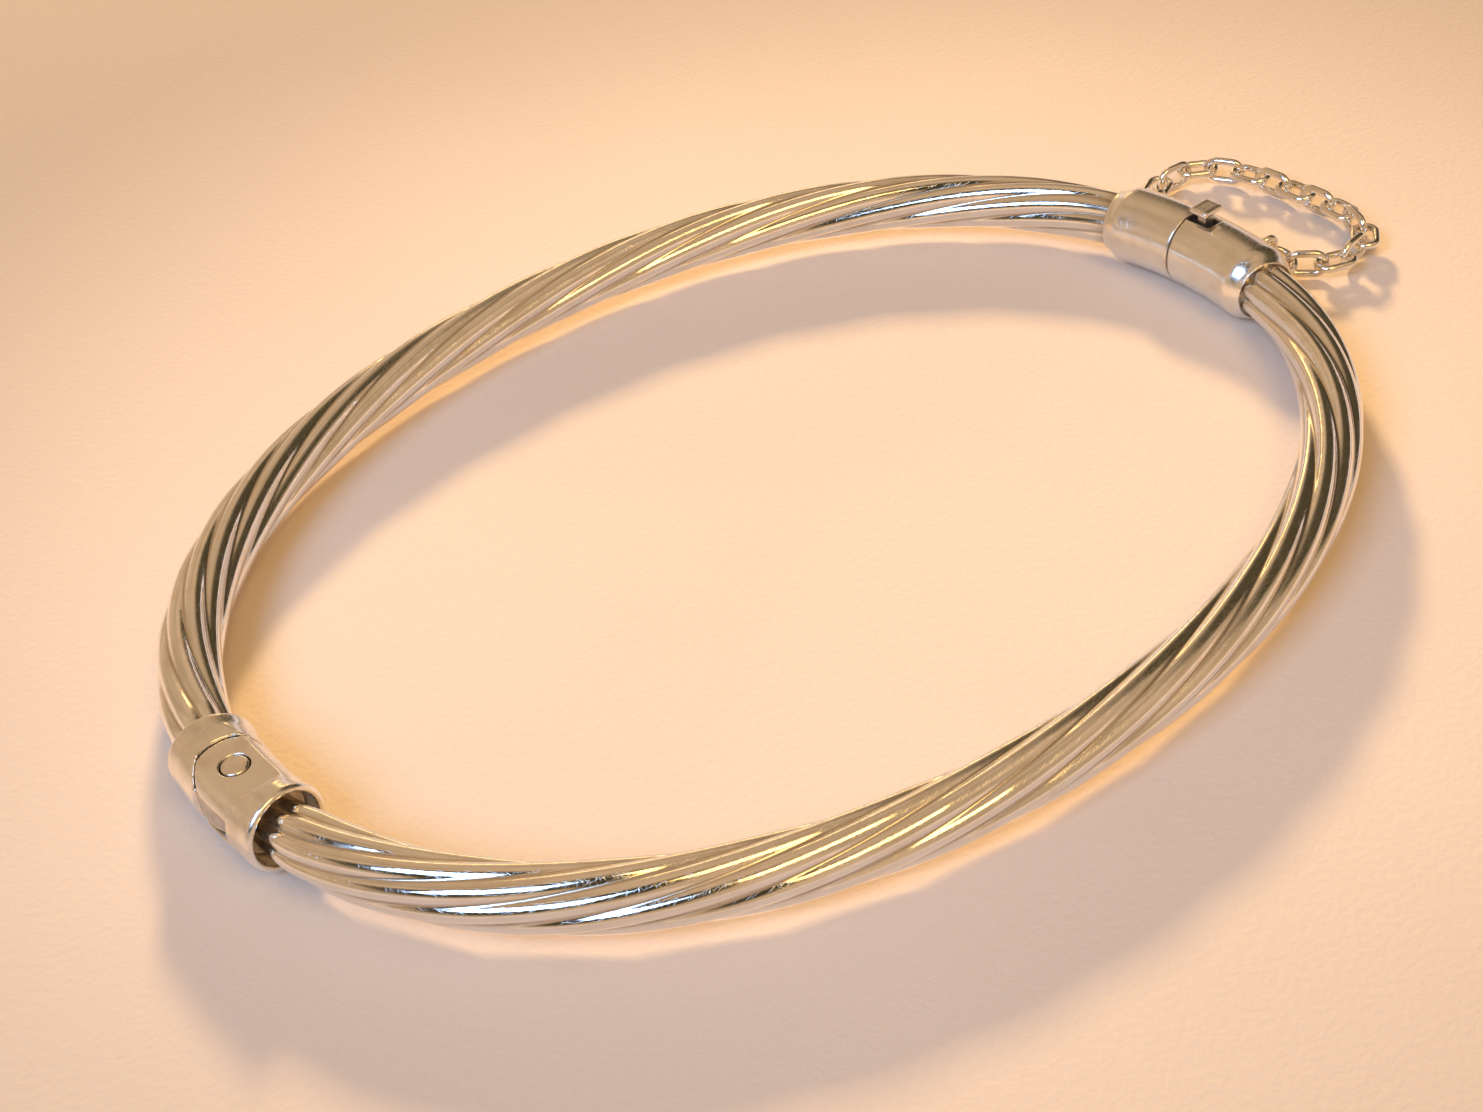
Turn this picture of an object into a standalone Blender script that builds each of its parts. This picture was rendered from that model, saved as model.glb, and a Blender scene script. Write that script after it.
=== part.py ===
"""Oval hinged bangle of twisted fluted silver tube, with a snap clasp and a safety chain."""
import math

import bmesh
import bpy
from mathutils import Matrix, Vector

# Driving dimensions. Lengths are in millimetres and are scaled to metres when a mesh is made.
MM = 0.001
RING_HALF_LENGTH = 31.5
RING_HALF_WIDTH = 24.8
OVAL_POWER = 2.08
RING_SHIFT_X = -4.44
AXIS_HEIGHT = 2.2

TUBE_RADIUS = 1.65
TUBE_BORE_RADIUS = 1.0
TUBE_END_SCALE = 0.8
TAPER_LENGTH = 3.2
FLUTE_COUNT = 8
FLUTE_DEPTH = 0.26
TWIST_PITCH = 52.0
TUBE_STEPS = 34

SLEEVE_RADIUS = 2.2
LIP_ROUND = 0.25
CUP_RADIUS = 1.8
CUP_DEPTH = 1.3
CUP_GAP = 0.05

HINGE_LENGTH = 3.7
LUG_RADIUS = 1.95
LUG_FLAT = 1.75
LUG_SLOT = 0.86
KNUCKLE_HALF = 0.8
KNUCKLE_RADIUS = 1.9
COLLAR_RADIUS = 2.05
COLLAR_START = 0.95
RIVET_RADIUS = 0.6
RIVET_HEAD_RADIUS = 0.68
RIVET_HEAD = 0.28
RIVET_GAP = 0.02

BOX_LENGTH = 6.4
TONGUE_SLEEVE_LENGTH = 5.4
SEAM_GAP = 0.03
PLATE_RADIUS = 1.72
PLATE_BACK = 0.4
TONGUE_HALF_WIDTH = 1.0
LEAF_THICKNESS = 0.3
LEAF_BOTTOM = -0.75
FOLD_Y = -3.3
SHOULDER_Y = -0.5
SHOULDER_TOP = 0.75

EYE_STANDOFF = 3.3
EYE_WIRE = 0.22
FRONT_EYE_AT = -3.0
BACK_EYE_AT = 4.4
CHAIN_HEIGHT = 0.95
FLAT_LINKS = 7
LINK_WIRE = 0.225
LINK_END = 0.65
LINK_STRAIGHT = 0.9
LINK_PLAY = 0.06
RING_WIRE = 0.2
JUMP_RADIUS = 1.0
JUMP_OFFSET = 0.3
JUMP_TILT = math.radians(20.0)
LOOP_FLATTEN = 0.33

PARTS = None
CUTTERS = None
SILVER = None


def clear_scene():
    """Remove every object the new file starts with."""
    for old in list(bpy.data.objects):
        bpy.data.objects.remove(old, do_unlink=True)


def make_collections():
    """Make the collection of parts and the collection of cutters."""
    global PARTS, CUTTERS
    PARTS = bpy.data.collections.new("bangle_bracelet")
    CUTTERS = bpy.data.collections.new("cutters")
    bpy.context.scene.collection.children.link(PARTS)
    bpy.context.scene.collection.children.link(CUTTERS)


def make_material():
    """Make the polished silver shared by every piece."""
    global SILVER
    SILVER = bpy.data.materials.new("polished_silver")
    SILVER.use_nodes = True
    shader = SILVER.node_tree.nodes["Principled BSDF"]
    shader.inputs["Base Color"].default_value = (0.86, 0.83, 0.79, 1.0)
    shader.inputs["Metallic"].default_value = 1.0
    shader.inputs["Roughness"].default_value = 0.18


def oval_table():
    """Tabulate the oval centreline by arc length from the clasp seam, once round."""
    count = 7200
    rows = []
    length = 0.0
    last = None
    for i in range(-count, count + 1):
        turn = math.pi * i / count
        c = math.cos(turn)
        s = math.sin(turn)
        x = RING_HALF_LENGTH * math.copysign(abs(c) ** (2.0 / OVAL_POWER), c)
        y = RING_HALF_WIDTH * math.copysign(abs(s) ** (2.0 / OVAL_POWER), s)
        if last is not None:
            length += math.hypot(x - last[0], y - last[1])
        last = (x, y)
        rows.append((length, x, y))
    half = length / 2.0
    return half, [(row[0] - half, row[1], row[2]) for row in rows]


HALF_LENGTH, OVAL = oval_table()


def oval_point(along):
    """Point of the centreline at an arc length measured from the clasp seam."""
    full = 2.0 * HALF_LENGTH
    along = (along + HALF_LENGTH) % full - HALF_LENGTH
    low = 0
    high = len(OVAL) - 1
    while high - low > 1:
        mid = (low + high) // 2
        if OVAL[mid][0] <= along:
            low = mid
        else:
            high = mid
    a = OVAL[low]
    b = OVAL[high]
    part = (along - a[0]) / (b[0] - a[0])
    return Vector((a[1] + (b[1] - a[1]) * part, a[2] + (b[2] - a[2]) * part, AXIS_HEIGHT))


def oval_normal(along):
    """Outward unit normal of the centreline in the plane of the ring."""
    ahead = oval_point(along + 0.2) - oval_point(along - 0.2)
    return Vector((ahead.y, -ahead.x, 0.0)).normalized()


def finish(mesh, name, collection):
    """Scale a mesh to metres, shift it to the part's frame and wrap it in an object."""
    mesh.transform(Matrix.Translation((RING_SHIFT_X, 0.0, 0.0)))
    mesh.transform(Matrix.Scale(MM, 4))
    piece = bpy.data.objects.new(name, mesh)
    collection.objects.link(piece)
    if collection == CUTTERS:
        piece.hide_render = True
        piece.display_type = "WIRE"
    else:
        mesh.materials.clear()
        mesh.materials.append(SILVER)
    return piece


def from_bmesh(work, name, collection):
    """Turn a bmesh into a finished object."""
    bmesh.ops.remove_doubles(work, verts=work.verts, dist=0.0005)
    bmesh.ops.recalc_face_normals(work, faces=work.faces)
    mesh = bpy.data.meshes.new(name)
    work.to_mesh(mesh)
    work.free()
    return finish(mesh, name, collection)


def from_curve(curve, name, collection):
    """Turn a bevelled curve into a finished mesh object."""
    carrier = bpy.data.objects.new(name + "_path", curve)
    bpy.context.scene.collection.objects.link(carrier)
    bpy.context.view_layer.update()
    graph = bpy.context.evaluated_depsgraph_get()
    mesh = bpy.data.meshes.new_from_object(carrier.evaluated_get(graph))
    bpy.data.objects.remove(carrier, do_unlink=True)
    work = bmesh.new()
    work.from_mesh(mesh)
    bpy.data.meshes.remove(mesh)
    return from_bmesh(work, name, collection)


def wire(points, radius, name, collection, closed=False, sides=6, radii=None):
    """Sweep a round wire through a list of points."""
    curve = bpy.data.curves.new(name, "CURVE")
    curve.dimensions = "3D"
    curve.twist_mode = "Z_UP" if radii is not None else "MINIMUM"
    curve.bevel_depth = radius
    curve.bevel_resolution = sides // 2 - 2
    curve.use_fill_caps = not closed
    spline = curve.splines.new("POLY")
    spline.points.add(len(points) - 1)
    spline.use_cyclic_u = closed
    for i, point in enumerate(points):
        spline.points[i].co = (point[0], point[1], point[2], 1.0)
        if radii is not None:
            spline.points[i].radius = radii[i] / radius
    return from_curve(curve, name, collection)


def swept(rows, name, collection, sides=24):
    """Sweep a round body along the ring; rows hold arc length and radius."""
    points = [oval_point(row[0]) for row in rows]
    return wire(points, SLEEVE_RADIUS, name, collection, sides=sides, radii=[row[1] for row in rows])


def rows_between(start, end, radius, count):
    """Evenly spaced rows of one radius."""
    return [(start + (end - start) * i / count, radius) for i in range(count + 1)]


def lip_rows(start, end, count):
    """Rows of a sleeve whose far end is a rounded lip."""
    way = math.copysign(1.0, end - start)
    rows = rows_between(start, end - way * LIP_ROUND, SLEEVE_RADIUS, count)
    for i in range(1, 4):
        turn = math.pi / 2.0 * i / 3.0
        along = end - way * LIP_ROUND * (1.0 - math.sin(turn))
        rows.append((along, SLEEVE_RADIUS - LIP_ROUND * (1.0 - math.cos(turn)) * 0.8))
    return rows


def prism(outline, low, high, name, collection):
    """Extrude an outline in the ring's plane between two heights."""
    work = bmesh.new()
    ring = [work.verts.new((p[0], p[1], low)) for p in outline]
    face = work.faces.new(ring)
    grown = bmesh.ops.extrude_face_region(work, geom=[face])
    lifted = [g for g in grown["geom"] if isinstance(g, bmesh.types.BMVert)]
    bmesh.ops.translate(work, verts=lifted, vec=(0.0, 0.0, high - low))
    return from_bmesh(work, name, collection)


def side_prism(outline, low, high, name, collection):
    """Extrude an outline drawn in Y and height along X, between two X values."""
    work = bmesh.new()
    ring = [work.verts.new((low, p[0], AXIS_HEIGHT + p[1])) for p in outline]
    face = work.faces.new(ring)
    grown = bmesh.ops.extrude_face_region(work, geom=[face])
    pushed = [g for g in grown["geom"] if isinstance(g, bmesh.types.BMVert)]
    bmesh.ops.translate(work, verts=pushed, vec=(high - low, 0.0, 0.0))
    return from_bmesh(work, name, collection)


def block(x0, x1, y0, y1, z0, z1, name, collection):
    """Box between two corners; heights are measured from the tube's axis."""
    work = bmesh.new()
    bmesh.ops.create_cube(work, size=1.0)
    bmesh.ops.scale(work, verts=work.verts, vec=(x1 - x0, y1 - y0, z1 - z0))
    middle = ((x0 + x1) / 2.0, (y0 + y1) / 2.0, AXIS_HEIGHT + (z0 + z1) / 2.0)
    bmesh.ops.translate(work, verts=work.verts, vec=middle)
    return from_bmesh(work, name, collection)


def spool(x, y, profile, name, collection, steps=24):
    """Turn a profile of radius and height about a vertical axis with the Screw tool."""
    mesh = bpy.data.meshes.new(name)
    points = [(row[0] * MM, 0.0, row[1] * MM) for row in profile]
    edges = [(i, i + 1) for i in range(len(points) - 1)]
    mesh.from_pydata(points, edges, [])
    piece = bpy.data.objects.new(name, mesh)
    piece.location = ((x + RING_SHIFT_X) * MM, y * MM, AXIS_HEIGHT * MM)
    collection.objects.link(piece)
    turn = piece.modifiers.new("turn", "SCREW")
    turn.steps = steps
    turn.render_steps = steps
    turn.use_merge_vertices = True
    turn.merge_threshold = 0.000001
    turn.use_smooth_shade = False
    if collection == CUTTERS:
        piece.hide_render = True
        piece.display_type = "WIRE"
    else:
        mesh.materials.append(SILVER)
    return piece


def cut(piece, tool, way="DIFFERENCE"):
    """Add one exact Boolean to a piece."""
    step = piece.modifiers.new(way.lower() + "_" + tool.name, "BOOLEAN")
    step.operation = way
    step.solver = "EXACT"
    step.object = tool


def stadium(cx, cy, radius, far_y, half_width, count=24):
    """Outline with a half round about a centre and straight sides running to far_y."""
    up = far_y < cy
    outline = []
    for i in range(count + 1):
        turn = math.pi * i / count
        if not up:
            turn = -turn
        outline.append((cx + radius * math.cos(turn), cy + radius * math.sin(turn)))
    outline.append((cx - half_width, cy))
    outline.append((cx - half_width, far_y))
    outline.append((cx + half_width, far_y))
    outline.append((cx + half_width, cy))
    return outline


def fluted_tube(name, start, end):
    """Hollow tube with rounded lobes that wind round it, narrowed at both ends."""
    profile = bpy.data.curves.new(name + "_profile", "CURVE")
    profile.dimensions = "2D"
    line = profile.splines.new("POLY")
    count = FLUTE_COUNT * 2
    line.points.add(count - 1)
    line.use_cyclic_u = True
    for i in range(count):
        turn = 2.0 * math.pi * i / count
        radius = TUBE_RADIUS if i % 2 == 0 else TUBE_RADIUS - FLUTE_DEPTH
        line.points[i].co = (radius * math.cos(turn), radius * math.sin(turn), 0.0, 1.0)
    section = bpy.data.objects.new(name + "_section", profile)
    bpy.context.scene.collection.objects.link(section)
    curve = bpy.data.curves.new(name, "CURVE")
    curve.dimensions = "3D"
    curve.twist_mode = "Z_UP"
    curve.bevel_mode = "OBJECT"
    curve.bevel_object = section
    curve.use_fill_caps = True
    spline = curve.splines.new("POLY")
    spline.points.add(TUBE_STEPS)
    for i in range(TUBE_STEPS + 1):
        along = start + (end - start) * i / TUBE_STEPS
        place = oval_point(along)
        spline.points[i].co = (place.x, place.y, place.z, 1.0)
        spline.points[i].tilt = -2.0 * math.pi * along / TWIST_PITCH
        near = min(abs(along - start), abs(along - end)) / TAPER_LENGTH
        ease = min(1.0, near)
        ease = ease * ease * (3.0 - 2.0 * ease)
        spline.points[i].radius = TUBE_END_SCALE + (1.0 - TUBE_END_SCALE) * ease
    tube = from_curve(curve, name, PARTS)
    bpy.data.objects.remove(section, do_unlink=True)
    bore = swept(rows_between(start - 1.0, end + 1.0, TUBE_BORE_RADIUS, TUBE_STEPS), name + "_bore",
                 CUTTERS, sides=12)
    cut(tube, bore)
    return tube


def cup(mouth, name):
    """Cutter for the cup a tube end sits in; mouth is the arc length of the sleeve's open end."""
    way = math.copysign(1.0, mouth)
    inside = -way if abs(mouth) < HALF_LENGTH / 2.0 else way
    return swept(rows_between(mouth + inside * CUP_DEPTH, mouth - inside * 1.0, CUP_RADIUS, 3), name,
                 CUTTERS, sides=20)


def hinge_parts():
    """Fork sleeve with two lugs, knuckle sleeve with one, and the rivet through all three."""
    pivot_x = -RING_HALF_LENGTH
    hole = [(0.0, 4.0), (RIVET_HEAD_RADIUS + RIVET_GAP, 4.0),
            (RIVET_HEAD_RADIUS + RIVET_GAP, LUG_FLAT - RIVET_HEAD - RIVET_GAP),
            (RIVET_RADIUS + RIVET_GAP, LUG_FLAT - RIVET_HEAD - RIVET_GAP),
            (RIVET_RADIUS + RIVET_GAP, RIVET_HEAD + RIVET_GAP - LUG_FLAT),
            (RIVET_HEAD_RADIUS + RIVET_GAP, RIVET_HEAD + RIVET_GAP - LUG_FLAT),
            (RIVET_HEAD_RADIUS + RIVET_GAP, -4.0), (0.0, -4.0)]
    hole_tool = spool(pivot_x, 0.0, hole, "rivet_hole", CUTTERS)

    fork = swept(lip_rows(-HALF_LENGTH - 2.1, -HALF_LENGTH + HINGE_LENGTH, 8), "hinge_fork_sleeve", PARTS)
    shape = prism(stadium(pivot_x, 0.0, LUG_RADIUS, -8.0, 3.2), AXIS_HEIGHT - 4.0, AXIS_HEIGHT + 4.0,
                  "fork_outline", CUTTERS)
    cut(fork, shape, "INTERSECT")
    for sign, label in ((1.0, "top"), (-1.0, "under")):
        flat = [(3.0, sign * LUG_FLAT), (-2.2, sign * LUG_FLAT), (-2.9, sign * 2.3), (-2.9, sign * 3.5),
                (3.0, sign * 3.5)]
        cut(fork, side_prism(flat, pivot_x - 3.5, pivot_x + 3.5, "fork_flat_" + label, CUTTERS))
    cut(fork, block(pivot_x - 3.5, pivot_x + 3.5, -2.1, 3.0, -LUG_SLOT, LUG_SLOT, "fork_slot", CUTTERS))
    cut(fork, cup(-HALF_LENGTH + HINGE_LENGTH, "fork_cup"))
    cut(fork, hole_tool)

    knuckle = swept(lip_rows(HALF_LENGTH - 0.2, HALF_LENGTH - HINGE_LENGTH, 6), "hinge_knuckle_sleeve",
                    PARTS)
    round_tool = spool(pivot_x, 0.0, [(0.0, 4.0), (COLLAR_RADIUS, 4.0), (COLLAR_RADIUS, -4.0), (0.0, -4.0)],
                       "collar_round", CUTTERS, steps=32)
    cut(knuckle, round_tool)
    cut(knuckle, block(pivot_x - 4.0, pivot_x + 4.0, -3.0, COLLAR_START, -4.0, 4.0, "collar_end", CUTTERS))
    leaf = prism(stadium(pivot_x, 0.0, KNUCKLE_RADIUS, 2.3, KNUCKLE_RADIUS), AXIS_HEIGHT - KNUCKLE_HALF,
                 AXIS_HEIGHT + KNUCKLE_HALF, "knuckle_leaf", CUTTERS)
    cut(knuckle, leaf, "UNION")
    cut(knuckle, cup(HALF_LENGTH - HINGE_LENGTH, "knuckle_cup"))
    cut(knuckle, hole_tool)

    top = LUG_FLAT + 0.04
    neck = LUG_FLAT - RIVET_HEAD
    rivet = [(0.0, top), (RIVET_HEAD_RADIUS - 0.12, top), (RIVET_HEAD_RADIUS, LUG_FLAT - 0.03),
             (RIVET_HEAD_RADIUS, neck), (RIVET_RADIUS, neck), (RIVET_RADIUS, -neck),
             (RIVET_HEAD_RADIUS, -neck), (RIVET_HEAD_RADIUS, 0.03 - LUG_FLAT),
             (RIVET_HEAD_RADIUS - 0.12, -top), (0.0, -top)]
    spool(pivot_x, 0.0, rivet, "hinge_rivet", PARTS)


def clasp_parts():
    """Box sleeve with its mouth plate, tongue sleeve, the folded tongue and its thumb button."""
    seam_x = RING_HALF_LENGTH
    box = swept(lip_rows(-SEAM_GAP, -BOX_LENGTH, 9), "box_sleeve", PARTS)
    cut(box, cup(-BOX_LENGTH, "box_cup"))
    recess = swept(rows_between(-PLATE_BACK - 0.05, 1.0, PLATE_RADIUS + 0.03, 2), "plate_recess", CUTTERS)
    cut(box, recess)
    cut(box, block(seam_x - 1.45, seam_x + 1.2, -4.4, -0.2, -1.1, 1.15, "tongue_cavity", CUTTERS))
    cut(box, block(seam_x - 0.55, seam_x + 0.5, -1.8, 0.5, 0.0, 4.0, "thumb_notch", CUTTERS))

    plate = swept(rows_between(-0.06, -PLATE_BACK, PLATE_RADIUS, 2), "box_mouth_plate", PARTS)
    cut(plate, block(seam_x - 1.2, seam_x + 1.25, -2.0, 1.0, -0.9, 0.82, "plate_slot", CUTTERS))
    cut(plate, block(seam_x - 0.55, seam_x + 0.55, -2.0, 1.0, 0.0, 4.0, "plate_notch", CUTTERS))

    sleeve = swept(lip_rows(SEAM_GAP, TONGUE_SLEEVE_LENGTH, 8), "tongue_sleeve", PARTS)
    cut(sleeve, cup(TONGUE_SLEEVE_LENGTH, "tongue_cup"))
    cut(sleeve, block(seam_x - 1.02, seam_x + 1.02, -1.0, 1.6, LEAF_BOTTOM - 0.02,
                      LEAF_BOTTOM + LEAF_THICKNESS + 0.02, "leaf_slot", CUTTERS))

    centre = LEAF_BOTTOM + 0.42
    outline = [(1.5, LEAF_BOTTOM), (FOLD_Y, LEAF_BOTTOM)]
    for i in range(1, 7):
        turn = math.radians(-90.0 - 27.0 * i)
        outline.append((FOLD_Y + 0.42 * math.cos(turn), centre + 0.42 * math.sin(turn)))
    for i in range(6, -1, -1):
        turn = math.radians(-90.0 - 27.0 * i)
        outline.append((FOLD_Y + 0.12 * math.cos(turn), centre + 0.12 * math.sin(turn)))
    outline.append((1.5, LEAF_BOTTOM + LEAF_THICKNESS))
    side_prism(outline, seam_x - TONGUE_HALF_WIDTH, seam_x + TONGUE_HALF_WIDTH, "tongue_leaf", PARTS)

    outline = [(FOLD_Y + 0.05, centre + 0.12), (FOLD_Y + 0.05, centre + 0.42), (SHOULDER_Y, SHOULDER_TOP),
               (SHOULDER_Y, SHOULDER_TOP - LEAF_THICKNESS)]
    side_prism(outline, seam_x - TONGUE_HALF_WIDTH, seam_x + TONGUE_HALF_WIDTH, "snap_leaf", PARTS)

    button = block(seam_x - 0.75, seam_x + 0.75, -1.65, -0.35, 2.72, 3.05, "thumb_button", PARTS)
    stem = block(seam_x - 0.36, seam_x + 0.36, -1.3, -0.7, 0.73, 2.9, "thumb_stem", CUTTERS)
    cut(button, stem, "UNION")


def eye(name, along):
    """Wire staple soldered to the outer side of a sleeve; its upright is what the ring turns on."""
    base = oval_point(along)
    out = oval_normal(along)
    high = 0.55
    low = -1.3
    bend = 0.3
    points = []
    start_high = math.sqrt(SLEEVE_RADIUS ** 2 - (high - EYE_WIRE) ** 2) + 0.02
    start_low = math.sqrt(SLEEVE_RADIUS ** 2 - (low + EYE_WIRE) ** 2) + 0.02
    points.append((start_high, high))
    for i in range(4):
        turn = math.pi / 2.0 * i / 3.0
        points.append((EYE_STANDOFF - bend + bend * math.sin(turn), high - bend + bend * math.cos(turn)))
    for i in range(4):
        turn = math.pi / 2.0 * i / 3.0
        points.append((EYE_STANDOFF - bend + bend * math.cos(turn), low + bend - bend * math.sin(turn)))
    points.append((start_low, low))
    path = [base + out * p[0] + Vector((0.0, 0.0, p[1])) for p in points]
    wire(path, EYE_WIRE, name, PARTS, sides=8)


def member_lengths():
    """Distances between the pivots of the chain, from the front eye to the back eye."""
    reach = JUMP_RADIUS * math.cos(JUMP_TILT) - RING_WIRE - LINK_WIRE - LINK_PLAY
    play = LINK_END - 2.0 * LINK_WIRE - LINK_PLAY
    whole = LINK_STRAIGHT + 2.0 * LINK_END
    lengths = [JUMP_OFFSET, reach + whole + play]
    for _ in range(FLAT_LINKS - 1):
        lengths += [LINK_STRAIGHT, whole + 2.0 * play]
    lengths += [LINK_STRAIGHT, reach + whole + play, JUMP_OFFSET]
    return lengths, reach, play, whole


def chain_headings(lengths, opening, turn):
    """Headings of a loose loop: they swing smoothly from outward to inward along the chain."""
    total = sum(lengths)
    done = 0.0
    headings = []
    for length in lengths:
        part = (done + length / 2.0) / total
        done += length
        wave = math.cos(math.pi * part) + LOOP_FLATTEN * math.cos(3.0 * math.pi * part)
        headings.append(turn - opening * wave)
    return headings


def chain_gap(lengths, opening, turn, goal):
    """How far the last pivot of the loop is from the back eye."""
    x = -goal.x
    y = -goal.y
    for length, heading in zip(lengths, chain_headings(lengths, opening, turn)):
        x += length * math.cos(heading)
        y += length * math.sin(heading)
    return x, y


def chain_pivots():
    """Close the loop between the two eyes and return its pivots and headings."""
    first = oval_point(FRONT_EYE_AT) + oval_normal(FRONT_EYE_AT) * EYE_STANDOFF
    last = oval_point(BACK_EYE_AT) + oval_normal(BACK_EYE_AT) * EYE_STANDOFF
    goal = last - first
    lengths = member_lengths()[0]
    opening = 1.9
    turn = math.pi / 2.0
    small = 1e-6
    for _ in range(30):
        x, y = chain_gap(lengths, opening, turn, goal)
        xa, ya = chain_gap(lengths, opening + small, turn, goal)
        xb, yb = chain_gap(lengths, opening, turn + small, goal)
        a, b = (xa - x) / small, (xb - x) / small
        c, d = (ya - y) / small, (yb - y) / small
        det = a * d - b * c
        opening -= (d * x - b * y) / det
        turn -= (a * y - c * x) / det
    headings = chain_headings(lengths, opening, turn)
    pivots = [Vector((first.x, first.y, CHAIN_HEIGHT))]
    for length, heading in zip(lengths, headings):
        pivots.append(pivots[-1] + Vector((math.cos(heading), math.sin(heading), 0.0)) * length)
    return pivots, headings


def link_points(middle, heading, upright):
    """Centreline of one oval link, lying flat or standing on edge."""
    along = Vector((math.cos(heading), math.sin(heading), 0.0))
    across = Vector((0.0, 0.0, 1.0)) if upright else Vector((-along.y, along.x, 0.0))
    points = []
    for side in (1.0, -1.0):
        for i in range(7):
            turn = math.pi * i / 6.0 - math.pi / 2.0
            reach = side * (LINK_STRAIGHT / 2.0 + LINK_END * math.cos(turn))
            points.append(middle + along * reach + across * (side * LINK_END * math.sin(turn)))
    return points


def chain_parts():
    """Two jump rings and the oval links between them."""
    pivots, headings = chain_pivots()
    _, reach, play, whole = member_lengths()
    count = len(headings)
    number = 0
    for i, heading in enumerate(headings):
        along = Vector((math.cos(heading), math.sin(heading), 0.0))
        if i in (0, count - 1):
            sign = 1.0 if i == 0 else -1.0
            centre = pivots[1] if i == 0 else pivots[-2]
            lift = JUMP_RADIUS * math.sin(JUMP_TILT)
            sloped = along * math.cos(JUMP_TILT) - Vector((0.0, 0.0, sign * math.sin(JUMP_TILT)))
            across = Vector((-along.y, along.x, 0.0))
            points = []
            for k in range(18):
                turn = 2.0 * math.pi * k / 18.0
                points.append(centre + Vector((0.0, 0.0, lift)) + sloped * (JUMP_RADIUS * math.cos(turn))
                              + across * (JUMP_RADIUS * math.sin(turn)))
            name = "chain_ring_front" if i == 0 else "chain_ring_back"
            wire(points, RING_WIRE, name, PARTS, closed=True)
            continue
        number += 1
        upright = i % 2 == 1
        if not upright:
            middle = (pivots[i] + pivots[i + 1]) / 2.0
        elif i == 1:
            middle = pivots[i] + along * (reach + whole / 2.0)
        else:
            middle = pivots[i] + along * (play + whole / 2.0)
        wire(link_points(middle, heading, upright), LINK_WIRE, "chain_link_%02d" % number, PARTS,
             closed=True)


def main():
    """Build the whole bangle."""
    clear_scene()
    make_collections()
    make_material()
    inner = CUP_DEPTH - CUP_GAP
    fluted_tube("front_tube", -HALF_LENGTH + HINGE_LENGTH - inner, -BOX_LENGTH + inner)
    fluted_tube("back_tube", TONGUE_SLEEVE_LENGTH - inner, HALF_LENGTH - HINGE_LENGTH + inner)
    hinge_parts()
    clasp_parts()
    eye("front_chain_eye", FRONT_EYE_AT)
    eye("back_chain_eye", BACK_EYE_AT)
    chain_parts()


main()
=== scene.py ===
"""Hinged oval bangle of twisted fluted silver tube with a snap clasp and a safety chain.

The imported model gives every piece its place. Each sub-assembly here is a class that shapes
fine pieces over it, dresses them in worn polished silver and lets them ride on its bodies.
Shapes are drawn in millimetres and scaled to metres when a piece is finished.
"""

import logging
import math
from dataclasses import dataclass, field
from enum import Enum
from typing import Iterable, Optional, Sequence, Union

import bmesh
import bpy
import numpy as np
from mathutils import Matrix, Vector


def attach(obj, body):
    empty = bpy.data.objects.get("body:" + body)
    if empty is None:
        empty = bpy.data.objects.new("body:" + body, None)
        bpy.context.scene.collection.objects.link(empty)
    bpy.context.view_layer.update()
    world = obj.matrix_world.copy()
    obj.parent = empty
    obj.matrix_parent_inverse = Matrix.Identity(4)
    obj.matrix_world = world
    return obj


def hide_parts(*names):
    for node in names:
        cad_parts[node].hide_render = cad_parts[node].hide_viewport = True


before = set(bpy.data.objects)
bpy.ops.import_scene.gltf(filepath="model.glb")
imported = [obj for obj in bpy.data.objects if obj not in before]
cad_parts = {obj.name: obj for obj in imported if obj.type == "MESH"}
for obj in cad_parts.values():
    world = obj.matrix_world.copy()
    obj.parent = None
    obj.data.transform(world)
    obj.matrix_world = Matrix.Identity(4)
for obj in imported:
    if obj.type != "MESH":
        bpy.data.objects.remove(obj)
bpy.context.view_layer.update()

MM = 0.001
FULL_TURN = 2.0 * math.pi
QUARTER_TURN = math.pi / 2.0
ROUND_STEPS = 3
ROW_STEP = 0.25
BEYOND = 4.0  # Past every sleeve from the tube's axis, for cutters.
LOG = logging.getLogger("bangle")

Number = Union["Level", float]
Row = tuple[float, float]


class Grain(Enum):
    """Which way the polishing marks of a finish run."""

    FREE = "free"
    ALONG_TUBE = "along_tube"


# ---- Materials ----


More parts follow.
